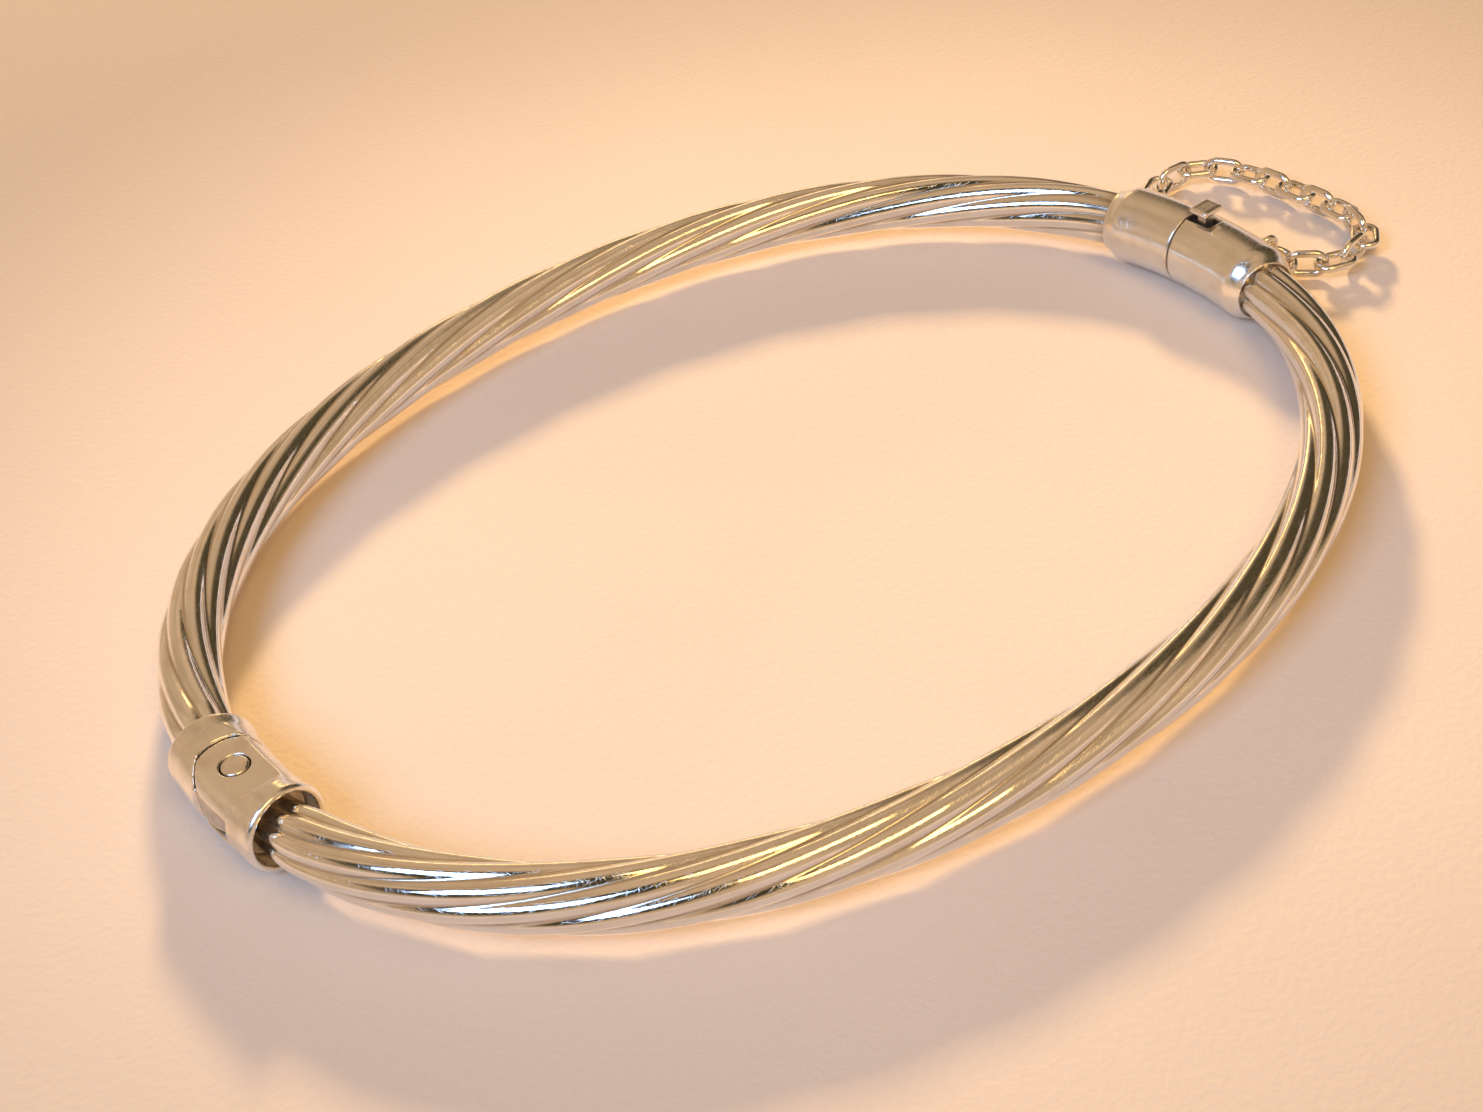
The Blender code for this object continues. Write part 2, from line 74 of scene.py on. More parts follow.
@dataclass(frozen=True)
class Level:
    """A number that varies over a surface; sums and products of levels add their nodes.

    Attributes:
        graph: Node tree it belongs to.
        socket: Output that carries it.
    """

    graph: "Graph"
    socket: bpy.types.NodeSocket

    def _math(self, operation: str, first: Number, second: Number = 0.0) -> "Level":
        """Add one Math node and return its result."""
        made = self.graph.add("ShaderNodeMath", {"operation": operation}, {0: first, 1: second})
        return Level(self.graph, made.outputs[0])

    def __add__(self, other: Number) -> "Level":
        """This level plus another."""
        return self._math("ADD", self, other)

    def __radd__(self, other: Number) -> "Level":
        """Another value plus this level."""
        return self._math("ADD", other, self)

    def __sub__(self, other: Number) -> "Level":
        """This level less another."""
        return self._math("SUBTRACT", self, other)

    def __rsub__(self, other: Number) -> "Level":
        """Another value less this level."""
        return self._math("SUBTRACT", other, self)

    def __mul__(self, other: Number) -> "Level":
        """This level times another."""
        return self._math("MULTIPLY", self, other)

    def __rmul__(self, other: Number) -> "Level":
        """Another value times this level."""
        return self._math("MULTIPLY", other, self)

    def __pow__(self, other: Number) -> "Level":
        """This level raised to a power."""
        return self._math("POWER", self, other)

    def clipped(self) -> "Level":
        """This level held between 0 and 1."""
        made = self.graph.add("ShaderNodeClamp", {}, {"Value": self})
        return Level(self.graph, made.outputs[0])

    def ramped(self, low: float, high: float) -> "Level":
        """This level rising smoothly from 0 at low to 1 at high.

        Args:
            low: Value that becomes 0.
            high: Value that becomes 1; it may be the smaller of the two.

        Returns:
            The eased level.
        """
        made = self.graph.add("ShaderNodeMapRange", {"interpolation_type": "SMOOTHSTEP"},
                              {"Value": self, "From Min": low, "From Max": high})
        return Level(self.graph, made.outputs[0])


class Graph:
    """Node tree of one material or of the world."""

    def __init__(self, owner: Union[bpy.types.Material, bpy.types.World]) -> None:
        """Start with an empty tree.

        Args:
            owner: Material or world whose nodes are made.
        """
        owner.use_nodes = True
        self.tree = owner.node_tree
        self.tree.nodes.clear()

    def add(self, kind: str, settings: Optional[dict] = None,
            inputs: Optional[dict] = None) -> bpy.types.Node:
        """Add a node, set it up and feed its sockets.

        Args:
            kind: Node type.
            settings: Properties set before the sockets.
            inputs: Socket name or number, and the value, level or socket it takes.

        Returns:
            The new node.
        """
        node = self.tree.nodes.new(kind)
        for key, value in (settings or {}).items():
            setattr(node, key, value)
        for key, value in (inputs or {}).items():
            socket = node.inputs[key]
            source = value.socket if isinstance(value, Level) else value
            if isinstance(source, bpy.types.NodeSocket):
                self.tree.links.new(source, socket)
            else:
                socket.default_value = value
        return node

    def blend(self, amount: Number, first: object, second: object) -> bpy.types.NodeSocket:
        """Mix two colours by an amount."""
        made = self.add("ShaderNodeMix", {"data_type": "RGBA"}, {0: amount, 6: first, 7: second})
        return made.outputs[2]

    def noise(self, place: bpy.types.NodeSocket, scale: float, detail: float = 2.0,
              roughness: float = 0.5) -> Level:
        """Soft cloudy level read at a place given in millimetres."""
        made = self.add("ShaderNodeTexNoise", {}, {"Vector": place, "Scale": scale, "Detail": detail,
                                                   "Roughness": roughness})
        return Level(self, made.outputs[0])

    def stretched(self, place: bpy.types.NodeSocket, along: float, across: float,
                  turn: Sequence[float] = (0.0, 0.0, 0.0)) -> bpy.types.NodeSocket:
        """Place turned and scaled along its axes, for marks that run one way.

        Args:
            place: Place in millimetres.
            along: Marks per millimetre along the grain.
            across: Marks per millimetre across it.
            turn: Turn of the grain about the three axes, in radians.

        Returns:
            The stretched place.
        """
        made = self.add("ShaderNodeMapping", {"vector_type": "TEXTURE"},
                        {"Vector": place, "Rotation": tuple(turn),
                         "Scale": (1.0 / along, 1.0 / across, 1.0 / across)})
        return made.outputs[0]

    def skin(self, colour: bpy.types.NodeSocket, rough: Level, height: Level, strength: float,
             distance: float, more: dict) -> None:
        """End the tree with a surface.

        Args:
            colour: Colour of the surface.
            rough: Its roughness.
            height: Height of its small relief.
            strength: How strongly the relief shows.
            distance: Height in metres of a relief of 1.
            more: Other sockets of the shader and their values.
        """
        bump = self.add("ShaderNodeBump", {}, {"Strength": strength, "Distance": distance, "Height": height})
        shader = self.add("ShaderNodeBsdfPrincipled", {},
                          {"Base Color": colour, "Roughness": rough, "Normal": bump.outputs[0], **more})
        self.add("ShaderNodeOutputMaterial", {}, {"Surface": shader.outputs[0]})

    def hairlines(self, place: bpy.types.NodeSocket, width: float) -> Level:
        """Thin lines between long cells, as fine scratches lie on polished metal."""
        made = self.add("ShaderNodeTexVoronoi", {"feature": "DISTANCE_TO_EDGE"},
                        {"Vector": place, "Scale": 1.0, "Randomness": 1.0})
        return Level(self, made.outputs["Distance"]).ramped(width, 0.0)


# Heights in millimetres and roughness that the marks on the silver add.
FINE_HEIGHT = 0.0011
SCRATCH_DEPTH = 0.0022
SPECK_HEIGHT = 0.0006
SCRATCH_HAZE = 0.08
GRIME_HAZE = 0.28


@dataclass(frozen=True)
class Silver:
    """Worn polished silver.

    Attributes:
        name: Name of the material.
        colour: Clean metal.
        tarnish_and_shade: Metal in creases and dull patches; also the painted shade in cups, over tube ends
            inside sleeves and under the thumb button.
        polish: Roughness where the metal is bright.
        haze: Roughness added by handling.
        scratches: Strength of the hairline scratches.
        ripple: Height in millimetres of the hand-worked waviness.
        patches: Share of the surface that has dulled.
        grain: Which way the polishing marks run.
    """

    name: str
    colour: tuple = (0.93, 0.91, 0.875)
    tarnish_and_shade: tuple = (0.36, 0.27, 0.165)
    polish: float = 0.07
    haze: float = 0.1
    scratches: float = 0.5
    ripple: float = 0.01
    patches: float = 0.25
    grain: Grain = Grain.FREE

    def material(self) -> bpy.types.Material:
        """Make the material once and hand the same one out again.

        Returns:
            The finished material.
        """
        known = bpy.data.materials.get(self.name)
        if known is not None:
            return known
        made = bpy.data.materials.new(self.name)
        graph = Graph(made)
        place, hollow = self._place(graph)
        fine = graph.noise(graph.stretched(place, 1.1, 26.0), 1.0, 3.0, 0.6)
        long_lines = graph.hairlines(graph.stretched(place, 0.22, 4.2, (0.2, 0.1, 0.35)), 0.018)
        cross_lines = graph.hairlines(graph.stretched(place, 0.5, 5.5, (0.5, -0.3, 1.1)), 0.014)
        cloud = graph.noise(place, 0.55, 3.0)
        speck = graph.noise(place, 9.0, 2.0)
        gate = graph.noise(place, 0.9, 1.0).ramped(0.42, 0.62)
        lines = (long_lines * 0.8 + cross_lines * gate).clipped()
        grime = graph.noise(graph.stretched(place, 0.35, 3.0), 1.0, 2.0)
        # The crease level is patina and grime in the lobes' creases and at joints, and painted shade in the
        # cups, over tube ends inside sleeves and under the thumb button; the cloudy patches are patina.
        dull = (hollow ** 1.5 * (0.35 + 0.9 * grime)
                + cloud.ramped(0.52, 0.78) * self.patches * (0.4 + speck)).clipped()
        warmer = tuple(part * less for part, less in zip(self.colour, (0.97, 0.94, 0.88)))
        bright = graph.blend(cloud.ramped(0.3, 0.7), (*self.colour, 1.0), (*warmer, 1.0))
        colour = graph.blend(dull, bright, (*self.tarnish_and_shade, 1.0))
        rough = (self.polish + self.haze * cloud.ramped(0.35, 0.75) * fine
                 + SCRATCH_HAZE * lines * self.scratches + GRIME_HAZE * dull).clipped()
        sway = graph.noise(place, 0.8, 1.0)
        height = (fine * FINE_HEIGHT * self.scratches + sway * self.ripple
                  - lines * SCRATCH_DEPTH * self.scratches + speck * SPECK_HEIGHT)
        graph.skin(colour, rough, height, 1.0, MM, {"Metallic": 1.0})
        return made

    def _place(self, graph: Graph) -> tuple[bpy.types.NodeSocket, Level]:
        """Where a point is in millimetres, and how strongly it is marked with patina and painted shade.

        Args:
            graph: Node tree of the material.

        Returns:
            The place and the level of patina and painted shade.
        """
        crease = graph.add("ShaderNodeAttribute", {"attribute_name": "crease"}).outputs["Fac"]
        if self.grain is Grain.ALONG_TUBE:
            straight = graph.add("ShaderNodeAttribute", {"attribute_name": "straight"})
            return straight.outputs["Vector"], Level(graph, crease)
        spot = graph.add("ShaderNodeTexCoord").outputs["Object"]
        grown = graph.add("ShaderNodeVectorMath", {"operation": "SCALE"}, {0: spot, "Scale": 1.0 / MM})
        return grown.outputs[0], Level(graph, crease)


@dataclass(frozen=True)
class Leather:
    """Pale satin surface the bangle lies on, with a painted falloff of light that darkens it away from the
    ring.

    Attributes:
        name: Name of the material.
        colour: Colour near the ring.
        far: Distances in metres from the middle where the painted falloff of light starts and is deepest.
        shade: Share of the colour that the painted falloff leaves far away.
    """

    name: str = "pale_table"
    colour: tuple = (0.84, 0.715, 0.605)
    far: tuple[float, float] = (0.024, 0.078)
    shade: float = 0.62

    def material(self) -> bpy.types.Material:
        """Make the faintly mottled pale surface.

        Returns:
            The finished material.
        """
        made = bpy.data.materials.new(self.name)
        graph = Graph(made)
        spot = graph.add("ShaderNodeTexCoord").outputs["Object"]
        cloud = graph.noise(spot, 28.0, 3.0)
        fine = graph.noise(spot, 2600.0, 3.0)
        reach = graph.add("ShaderNodeVectorMath", {"operation": "LENGTH"}, {0: spot}).outputs["Value"]
        lighter, darker = (tuple(part * share for part in self.colour) + (1.0,)
                           for share in (1.05, self.shade))
        near_colour = graph.blend(cloud.ramped(0.3, 0.7), (*self.colour, 1.0), lighter)
        # Painted light: the colour dims away from the middle, as light falls off.
        colour = graph.blend(Level(graph, reach).ramped(*self.far), near_colour, darker)
        graph.skin(colour, 0.5 + 0.12 * cloud, fine, 0.4, 0.0001, {"Specular IOR Level": 0.06})
        return made


BRIGHT_TUBE = Silver("silver_fluted_tube", tarnish_and_shade=(0.44, 0.335, 0.21), polish=0.07, haze=0.10,
                     scratches=0.5, ripple=0.010, patches=0.12, grain=Grain.ALONG_TUBE)
WORN_FITTING = Silver("silver_fitting", polish=0.17, haze=0.16, scratches=0.9, ripple=0.003, patches=0.2)
RIVET_STEEL = Silver("silver_rivet", colour=(0.92, 0.88, 0.83), polish=0.11, haze=0.14, scratches=0.9,
                     ripple=0.004, patches=0.3)
CHAIN_WIRE = Silver("silver_chain", colour=(0.90, 0.87, 0.82), polish=0.10, haze=0.12, scratches=0.5,
                    ripple=0.004, patches=0.55)
SPRING_STRIP = Silver("silver_spring_strip", colour=(0.86, 0.84, 0.80), polish=0.2, haze=0.14,
                      scratches=1.2, ripple=0.002, patches=0.3)


# ---- Shaping ----


def placing(across: Vector, up: Vector, ahead: Vector, origin: Vector) -> Matrix:
    """Matrix whose X, Y and Z point along three vectors from an origin."""
    made = Matrix((across, up, ahead)).transposed().to_4x4()
    made.translation = origin
    return made


def stand(name: str, data: bpy.types.ID) -> bpy.types.Object:
    """Stand a new object in the scene."""
    made = bpy.data.objects.new(name, data)
    bpy.context.scene.collection.objects.link(made)
    return made


@dataclass(frozen=True)
class Oval:
    """Centreline of the ring in the plane of the table, measured round from the clasp seam.

    Attributes:
        half_length: Half the centreline's length, from hinge to clasp.
        half_width: Half its width, from front to back.
        power: How full its corners are; 2 is an ellipse.
        shift: Where its centre stands along the length.
        height: Height of the tube's axis.
        lengths: Arc length at each point of the table, from the clasp seam.
        xs: Place of each point along the length.
        ys: Place of each point along the width.
    """

    half_length: float = 31.5
    half_width: float = 24.8
    power: float = 2.08
    shift: float = -4.44
    height: float = 2.2
    lengths: np.ndarray = field(init=False, repr=False)
    xs: np.ndarray = field(init=False, repr=False)
    ys: np.ndarray = field(init=False, repr=False)

    def __post_init__(self) -> None:
        """Tabulate the oval by its arc length."""
        turn = np.linspace(-math.pi, math.pi, 14401)
        c, s = np.cos(turn), np.sin(turn)
        xs = self.half_length * np.sign(c) * np.abs(c) ** (2.0 / self.power)
        ys = self.half_width * np.sign(s) * np.abs(s) ** (2.0 / self.power)
        steps = np.concatenate([[0.0], np.cumsum(np.hypot(np.diff(xs), np.diff(ys)))])
        for name, values in (("lengths", steps - steps[-1] / 2.0), ("xs", xs), ("ys", ys)):
            object.__setattr__(self, name, values)

    @property
    def half(self) -> float:
        """Arc length from the clasp seam to the hinge pivot."""
        return float(self.lengths[-1])

    def point(self, along: float) -> Vector:
        """Point of the centreline."""
        full = 2.0 * self.half
        along = (along + self.half) % full - self.half
        x = float(np.interp(along, self.lengths, self.xs)) + self.shift
        return Vector((x, float(np.interp(along, self.lengths, self.ys)), self.height))

    def station(self, along: float) -> Matrix:
        """Placing of a section drawn inward and upward, facing along the centreline.

        Args:
            along: Arc length from the clasp seam.

        Returns:
            Matrix whose X points into the ring, Y up and Z along the ring.
        """
        ahead = (self.point(along + 0.2) - self.point(along - 0.2)).normalized()
        inward = Vector((-ahead.y, ahead.x, 0.0))
        return placing(inward, Vector((0.0, 0.0, 1.0)), ahead, self.point(along))


OVAL = Oval()


class Shape:
    """A solid in millimetres while it is being shaped."""

    def __init__(self, name: str) -> None:
        """Start with nothing.

        Args:
            name: Name the finished piece gets.
        """
        self.name = name
        self.work = bmesh.new()
        # The crease layer marks where the metal is darkened: patina and grime in creases and at joints, and
        # painted shade in recesses.
        self.crease = self.work.verts.layers.float.new("crease")

    def ring(self, sides: int, radius: float, place: Optional[Matrix] = None) -> list[bmesh.types.BMVert]:
        """Lay down a circle of vertices, the start of a lofted or spun body."""
        made = bmesh.ops.create_circle(self.work, cap_ends=False, segments=sides, radius=radius,
                                       matrix=place or Matrix.Identity(4))
        return made["verts"]

    def rim(self, ring: Sequence[bmesh.types.BMVert]) -> list[bmesh.types.BMEdge]:
        """Edges of a closed ring, in order."""
        return [self.work.edges.get(pair) for pair in zip(ring, [*ring[1:], ring[0]])]

    def grow(self, ring: Sequence[bmesh.types.BMVert]) -> list[bmesh.types.BMVert]:
        """Extrude a ring on the spot.

        Args:
            ring: Vertices of the open ring, in order.

        Returns:
            The new ring's vertices in the same order.
        """
        members = set(ring)
        made = bmesh.ops.extrude_edge_only(self.work, edges=self.rim(ring))["geom"]
        fresh = {part for part in made if isinstance(part, bmesh.types.BMVert)}
        follow = []
        for old in ring:
            for edge in old.link_edges:
                other = edge.other_vert(old)
                if other in fresh and other not in members:
                    follow.append(other)
                    break
        return follow

    def close(self, ring: Sequence[bmesh.types.BMVert]) -> None:
        """Fill a ring with a fan round its middle, so that the end is smooth."""
        middle = sum((vert.co for vert in ring), Vector()) / len(ring)
        follow = self.grow(ring)
        for vert in follow:
            vert.co = middle
        bmesh.ops.remove_doubles(self.work, verts=follow, dist=1e-5)

    def tidy(self) -> None:
        """Merge doubles and turn every face outward."""
        bmesh.ops.remove_doubles(self.work, verts=self.work.verts, dist=0.0004)
        bmesh.ops.recalc_face_normals(self.work, faces=self.work.faces)

    def mesh(self, name: str) -> bpy.types.Mesh:
        """Hand the shape over as a mesh, still in millimetres."""
        made = bpy.data.meshes.new(name)
        self.work.to_mesh(made)
        self.work.free()
        return made


class Block:
    """A solid cut and joined with other solids, then worn smooth along its edges."""

    def __init__(self, shape: Shape) -> None:
        """Take over a shape.

        Args:
            shape: The starting solid.
        """
        shape.tidy()
        self.name = shape.name
        self.body = self._object(shape)

    @staticmethod
    def _object(shape: Shape) -> bpy.types.Object:
        """Put a shape on the bench as a hidden object."""
        return stand(shape.name + "_bench", shape.mesh(shape.name + "_bench"))

    @staticmethod
    def _scrap(used: bpy.types.Object) -> None:
        """Throw an object away with its mesh."""
        mesh = used.data
        bpy.data.objects.remove(used, do_unlink=True)
        bpy.data.meshes.remove(mesh)

    def _settle(self) -> None:
        """Apply the body's modifiers."""
        bpy.context.view_layer.update()
        graph = bpy.context.evaluated_depsgraph_get()
        old = self.body.data
        self.body.data = bpy.data.meshes.new_from_object(self.body.evaluated_get(graph))
        self.body.modifiers.clear()
        bpy.data.meshes.remove(old)

    def work(self, operation: str, tool: Shape) -> None:
        """Cut, join or keep with another solid.

        Args:
            operation: DIFFERENCE, UNION or INTERSECT.
            tool: The other solid; it is used up.
        """
        tool.tidy()
        cutter = self._object(tool)
        step = self.body.modifiers.new(operation.lower(), "BOOLEAN")
        step.operation = operation
        step.solver = "EXACT"
        step.object = cutter
        self._settle()
        self._scrap(cutter)

    def cut(self, *tools: Shape) -> None:
        """Cut other solids away, one after another."""
        for tool in tools:
            self.work("DIFFERENCE", tool)

    def wear(self, grain: float, passes: int) -> Shape:
        """Rebuild the surface evenly and rub its edges round.

        Args:
            grain: Size of the even faces.
            passes: How many times the surface is rubbed.

        Returns:
            The worn solid, ready to be finished.
        """
        step = self.body.modifiers.new("even", "REMESH")
        step.mode = "VOXEL"
        step.voxel_size = grain
        step.adaptivity = 0.0
        self._settle()
        shape = Shape(self.name)
        shape.work.from_mesh(self.body.data)
        layers = shape.work.verts.layers.float
        shape.crease = layers.get("crease") or layers.new("crease")
        for _ in range(passes):
            bmesh.ops.smooth_vert(shape.work, verts=shape.work.verts, factor=0.5,
                                  use_axis_x=True, use_axis_y=True, use_axis_z=True)
        self._scrap(self.body)
        return shape


def finish(shape: Shape, finish_of: Silver, body: str, nodes: Sequence[str],
           faces_set: bool = False) -> bpy.types.Object:
    """Turn a shape into a piece in metres that rides on a body.

    Args:
        shape: The solid in millimetres.
        finish_of: Metal finish.
        body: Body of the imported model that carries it.
        nodes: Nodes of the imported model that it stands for.
        faces_set: True if the faces already point outward.

    Returns:
        The finished piece.
    """
    if not faces_set:
        shape.tidy()
    bmesh.ops.scale(shape.work, vec=(MM, MM, MM), verts=shape.work.verts)
    mesh = shape.mesh(shape.name)
    mesh.materials.clear()
    mesh.materials.append(finish_of.material())
    mesh.polygons.foreach_set("use_smooth", [True] * len(mesh.polygons))
    mesh.update()
    piece = stand(shape.name, mesh)
    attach(piece, body)
    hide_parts(*nodes)
    LOG.info("%s: %d faces on %s", shape.name, len(mesh.polygons), body)
    return piece


def skinned(name: str, circles: Iterable[tuple[Matrix, float]], sides: int) -> Shape:
    """Closed round body through circles.

    Args:
        name: Name of the shape.
        circles: Place and radius of each circle.
        sides: Points round it.

    Returns:
        The closed shape.
    """
    shape = Shape(name)
    ring: list = []
    first: list = []
    for place, radius in circles:
        ring = shape.grow(ring) if ring else shape.ring(sides, 1.0)
        first = first or ring
        for k, vert in enumerate(ring):
            turn = FULL_TURN * k / sides
            vert.co = place @ Vector((radius * math.cos(turn), radius * math.sin(turn), 0.0))
    shape.close(first)
    shape.close(ring)
    return shape


def sweep_rows(name: str, rows: Sequence[Row], sides: int) -> Shape:
    """Closed round body along the ring, through rows of arc length and radius."""
    return skinned(name, [(OVAL.station(along), radius) for along, radius in rows], sides)


def evenly(start: float, end: float, radius: float) -> list[Row]:
    """Rows of one radius between two arc lengths."""
    count = max(1, math.ceil(abs(end - start) / ROW_STEP))
    return [(start + (end - start) * i / count, radius) for i in range(count + 1)]


def cuboid(name: str, origin: Sequence[float], x: Row, y: Row, z: Row, round_off: float = 0.0) -> Shape:
    """Box measured from an origin, with rounded edges if asked for.

    Args:
        name: Name of the shape.
        origin: Point the box is measured from.
        x: Its lowest and highest X.
        y: Its lowest and highest Y.
        z: Its lowest and highest Z.
        round_off: Width of the rounding.

    Returns:
        The shape.
    """
    shape = Shape(name)
    made = bmesh.ops.create_cube(shape.work, size=1.0)
    low, high = ([at + span[end] for at, span in zip(origin, (x, y, z))] for end in (0, 1))
    bmesh.ops.scale(shape.work, verts=made["verts"], vec=[b - a for a, b in zip(low, high)])
    bmesh.ops.translate(shape.work, verts=made["verts"], vec=[(a + b) / 2.0 for a, b in zip(low, high)])
    if round_off > 0.0:
        bmesh.ops.bevel(shape.work, geom=list(shape.work.edges), offset=round_off, affect="EDGES",
                        segments=ROUND_STEPS, profile=0.5, material=-1)
    return shape


def turned(name: str, profile: Sequence[Row], centre: Vector, steps: int) -> Shape:
    """Body turned about an upright axis.

    Args:
        name: Name of the shape.
        profile: Radius and height of each point, from the top down.
        centre: Point of the axis that the heights are measured from.
        steps: Faces round it.

    Returns:
        The closed shape.
    """
    shape = Shape(name)
    verts = [bmesh.ops.create_vert(shape.work, co=centre + Vector((radius, 0.0, height)))["vert"][0]
             for radius, height in profile]
    edges = [shape.work.edges.new(pair) for pair in zip(verts, verts[1:])]
    bmesh.ops.spin(shape.work, geom=verts + edges, cent=centre, axis=(0.0, 0.0, 1.0),
                   angle=FULL_TURN, steps=steps, use_merge=True, use_duplicate=False)
    return shape


def plate(name: str, outline: Sequence[Vector], lift: Vector) -> Shape:
    """Flat outline extruded into a plate.

    Args:
        name: Name of the shape.
        outline: Corners of the flat face.
        lift: Way and distance it is extruded.

    Returns:
        The shape.
    """
    shape = Shape(name)
    made = bmesh.ops.create_circle(shape.work, cap_ends=True, segments=len(outline), radius=1.0)
    for vert, point in zip(made["verts"], outline):
        vert.co = point
    grown = bmesh.ops.extrude_face_region(shape.work, geom=list(shape.work.faces))
    lifted = [part for part in grown["geom"] if isinstance(part, bmesh.types.BMVert)]
    bmesh.ops.translate(shape.work, verts=lifted, vec=lift)
    return shape


# ---- Fluted tubes ----


@dataclass
class FlutedTube:
    """Half of the ring: a tube of eight round lobes that wind round it.

    Attributes:
        name: Name of the piece.
        node: Node it stands for.
        body: Body that carries it.
        start: Arc length of one end.
        end: Arc length of the other end.
        radius: Radius over the lobes.
        lobes: Count of lobes.
        lobe_centre: Distance of a lobe's own centre from the axis.
        pitch: Length of one whole turn of the lobes.
        calm: How far from a sleeve the lobes run nearly straight.
        slowed: Share of the winding that is lost there.
        hinge_scale: Size of the end in the hinge's sleeve.
        clasp_scale: Size of the end in the clasp's sleeve.
        taper: Length over which the ends narrow.
        crease_from: How far from a lobe's middle the rounded crease starts; 1 is its deepest line.
        grime_from: How far from a lobe's middle grime starts.
        sleeve_shade_reach: Length from each end that sits in a sleeve over which the tube is fully darkened
            with painted shade; the shade fades out over the same length again.
        bore: Radius and depth of each ring that turns the wall in and closes the bore.
        per_lobe: Points round one lobe.
        step: Length between sections.
    """

    name: str
    node: str
    body: str
    start: float
    end: float
    radius: float = 1.635
    lobes: int = 8
    lobe_centre: float = 1.08
    pitch: float = 52.0
    calm: float = 3.5
    slowed: float = 0.75
    hinge_scale: float = 0.8
    clasp_scale: float = 0.96
    taper: float = 3.4
    crease_from: float = 0.8
    grime_from: float = 0.72
    sleeve_shade_reach: float = 1.1
    bore: tuple[Row, ...] = ((0.98, 0.0), (0.95, 0.04), (0.95, 1.5))
    per_lobe: int = 20
    step: float = 0.3

    def _reach(self, turn: float) -> tuple[float, float]:
        """Radius at a turn of the section, and how near a crease it is."""
        half = math.pi / self.lobes
        near = abs((turn + half) % (2.0 * half) - half) / half
        if near <= self.crease_from:
            return self._round(near * half), near
        step = 0.001
        start = self._round(self.crease_from * half)
        slope = (start - self._round((self.crease_from - step) * half)) / step
        past = near - self.crease_from
        return start + slope * (past - past ** 2 / (2.0 * (1.0 - self.crease_from))), near

    def _round(self, off: float) -> float:
        """Radius of a round lobe at an angle from its middle."""
        side = self.lobe_centre * math.sin(off)
        return self.lobe_centre * math.cos(off) + math.sqrt((self.radius - self.lobe_centre) ** 2 - side ** 2)

    def build(self) -> bpy.types.Object:
        """Loft the tube, open its ends and dress it.

        Returns:
            The finished tube.
        """
        shape = Shape(self.name)
        straight = shape.work.verts.layers.float_vector.new("straight")
        sides = self.lobes * self.per_lobe
        count = round((self.end - self.start) / self.step)
        ring: list = []
        first: list = []
        alongs = [self.start + (self.end - self.start) * i / count for i in range(count + 1)]
        for along, turn in zip(alongs, self._turns(alongs)):
            ring = shape.grow(ring) if ring else shape.ring(sides, 1.0)
            first = first or ring
            place = OVAL.station(along)
            scale = self._scale(along)
            # Painted shade over each end that sits in a sleeve; the lobes' creases get patina.
            hidden = min(1.0, 2.0 - min(along - self.start, self.end - along) / self.sleeve_shade_reach)
            for k, vert in enumerate(ring):
                angle = FULL_TURN * k / sides
                reach, near = self._reach(angle)
                spot = Vector((math.cos(angle + turn), math.sin(angle + turn), 0.0)) * (reach * scale)
                vert.co = place @ spot
                vert[shape.crease] = max(0.0, (near - self.grime_from) / (1.0 - self.grime_from), hidden)
                vert[straight] = Vector((along, reach * math.cos(angle), reach * math.sin(angle)))
        for edge_ring, along, way in ((first, alongs[0], 1.0), (ring, alongs[-1], -1.0)):
            self._open_end(shape, edge_ring, OVAL.station(along), way)
        return finish(shape, BRIGHT_TUBE, self.body, [self.node])

    def _scale(self, along: float) -> float:
        """Size of the section at an arc length."""
        near = min(1.0, min(along - self.start, self.end - along) / self.taper)
        ease = near * near * (3.0 - 2.0 * near)
        small = self.clasp_scale if abs(along) < OVAL.half / 2.0 else self.hinge_scale
        return small + (1.0 - small) * ease

    def _turns(self, alongs: Sequence[float]) -> list[float]:
        """Turn of the section at each arc length, calmer near the sleeves."""
        turns = []
        turn = -FULL_TURN * alongs[0] / self.pitch
        last = alongs[0]
        for along in alongs:
            near = min(along - self.start, self.end - along)
            rate = 1.0 - self.slowed * math.exp(-(near / self.calm) ** 2)
            turn -= FULL_TURN * (along - last) / self.pitch * rate
            last = along
            turns.append(turn)
        return turns

    def _open_end(self, shape: Shape, ring: Sequence[bmesh.types.BMVert], place: Matrix, way: float) -> None:
        """Turn the wall in at an end and close the bore a little way inside.

        Args:
            shape: Shape the ring belongs to.
            ring: End ring.
            place: Station of the end.
            way: 1 if the tube lies ahead of the end, -1 if behind.
        """
        back = place.inverted()
        for radius, depth in self.bore:
            ring = shape.grow(ring)
            for vert in ring:
                local = back @ vert.co
                flat = Vector((local.x, local.y, 0.0)).normalized() * radius
                vert.co = place @ Vector((flat.x, flat.y, way * depth))
        shape.close(ring)


# ---- Sleeves ----


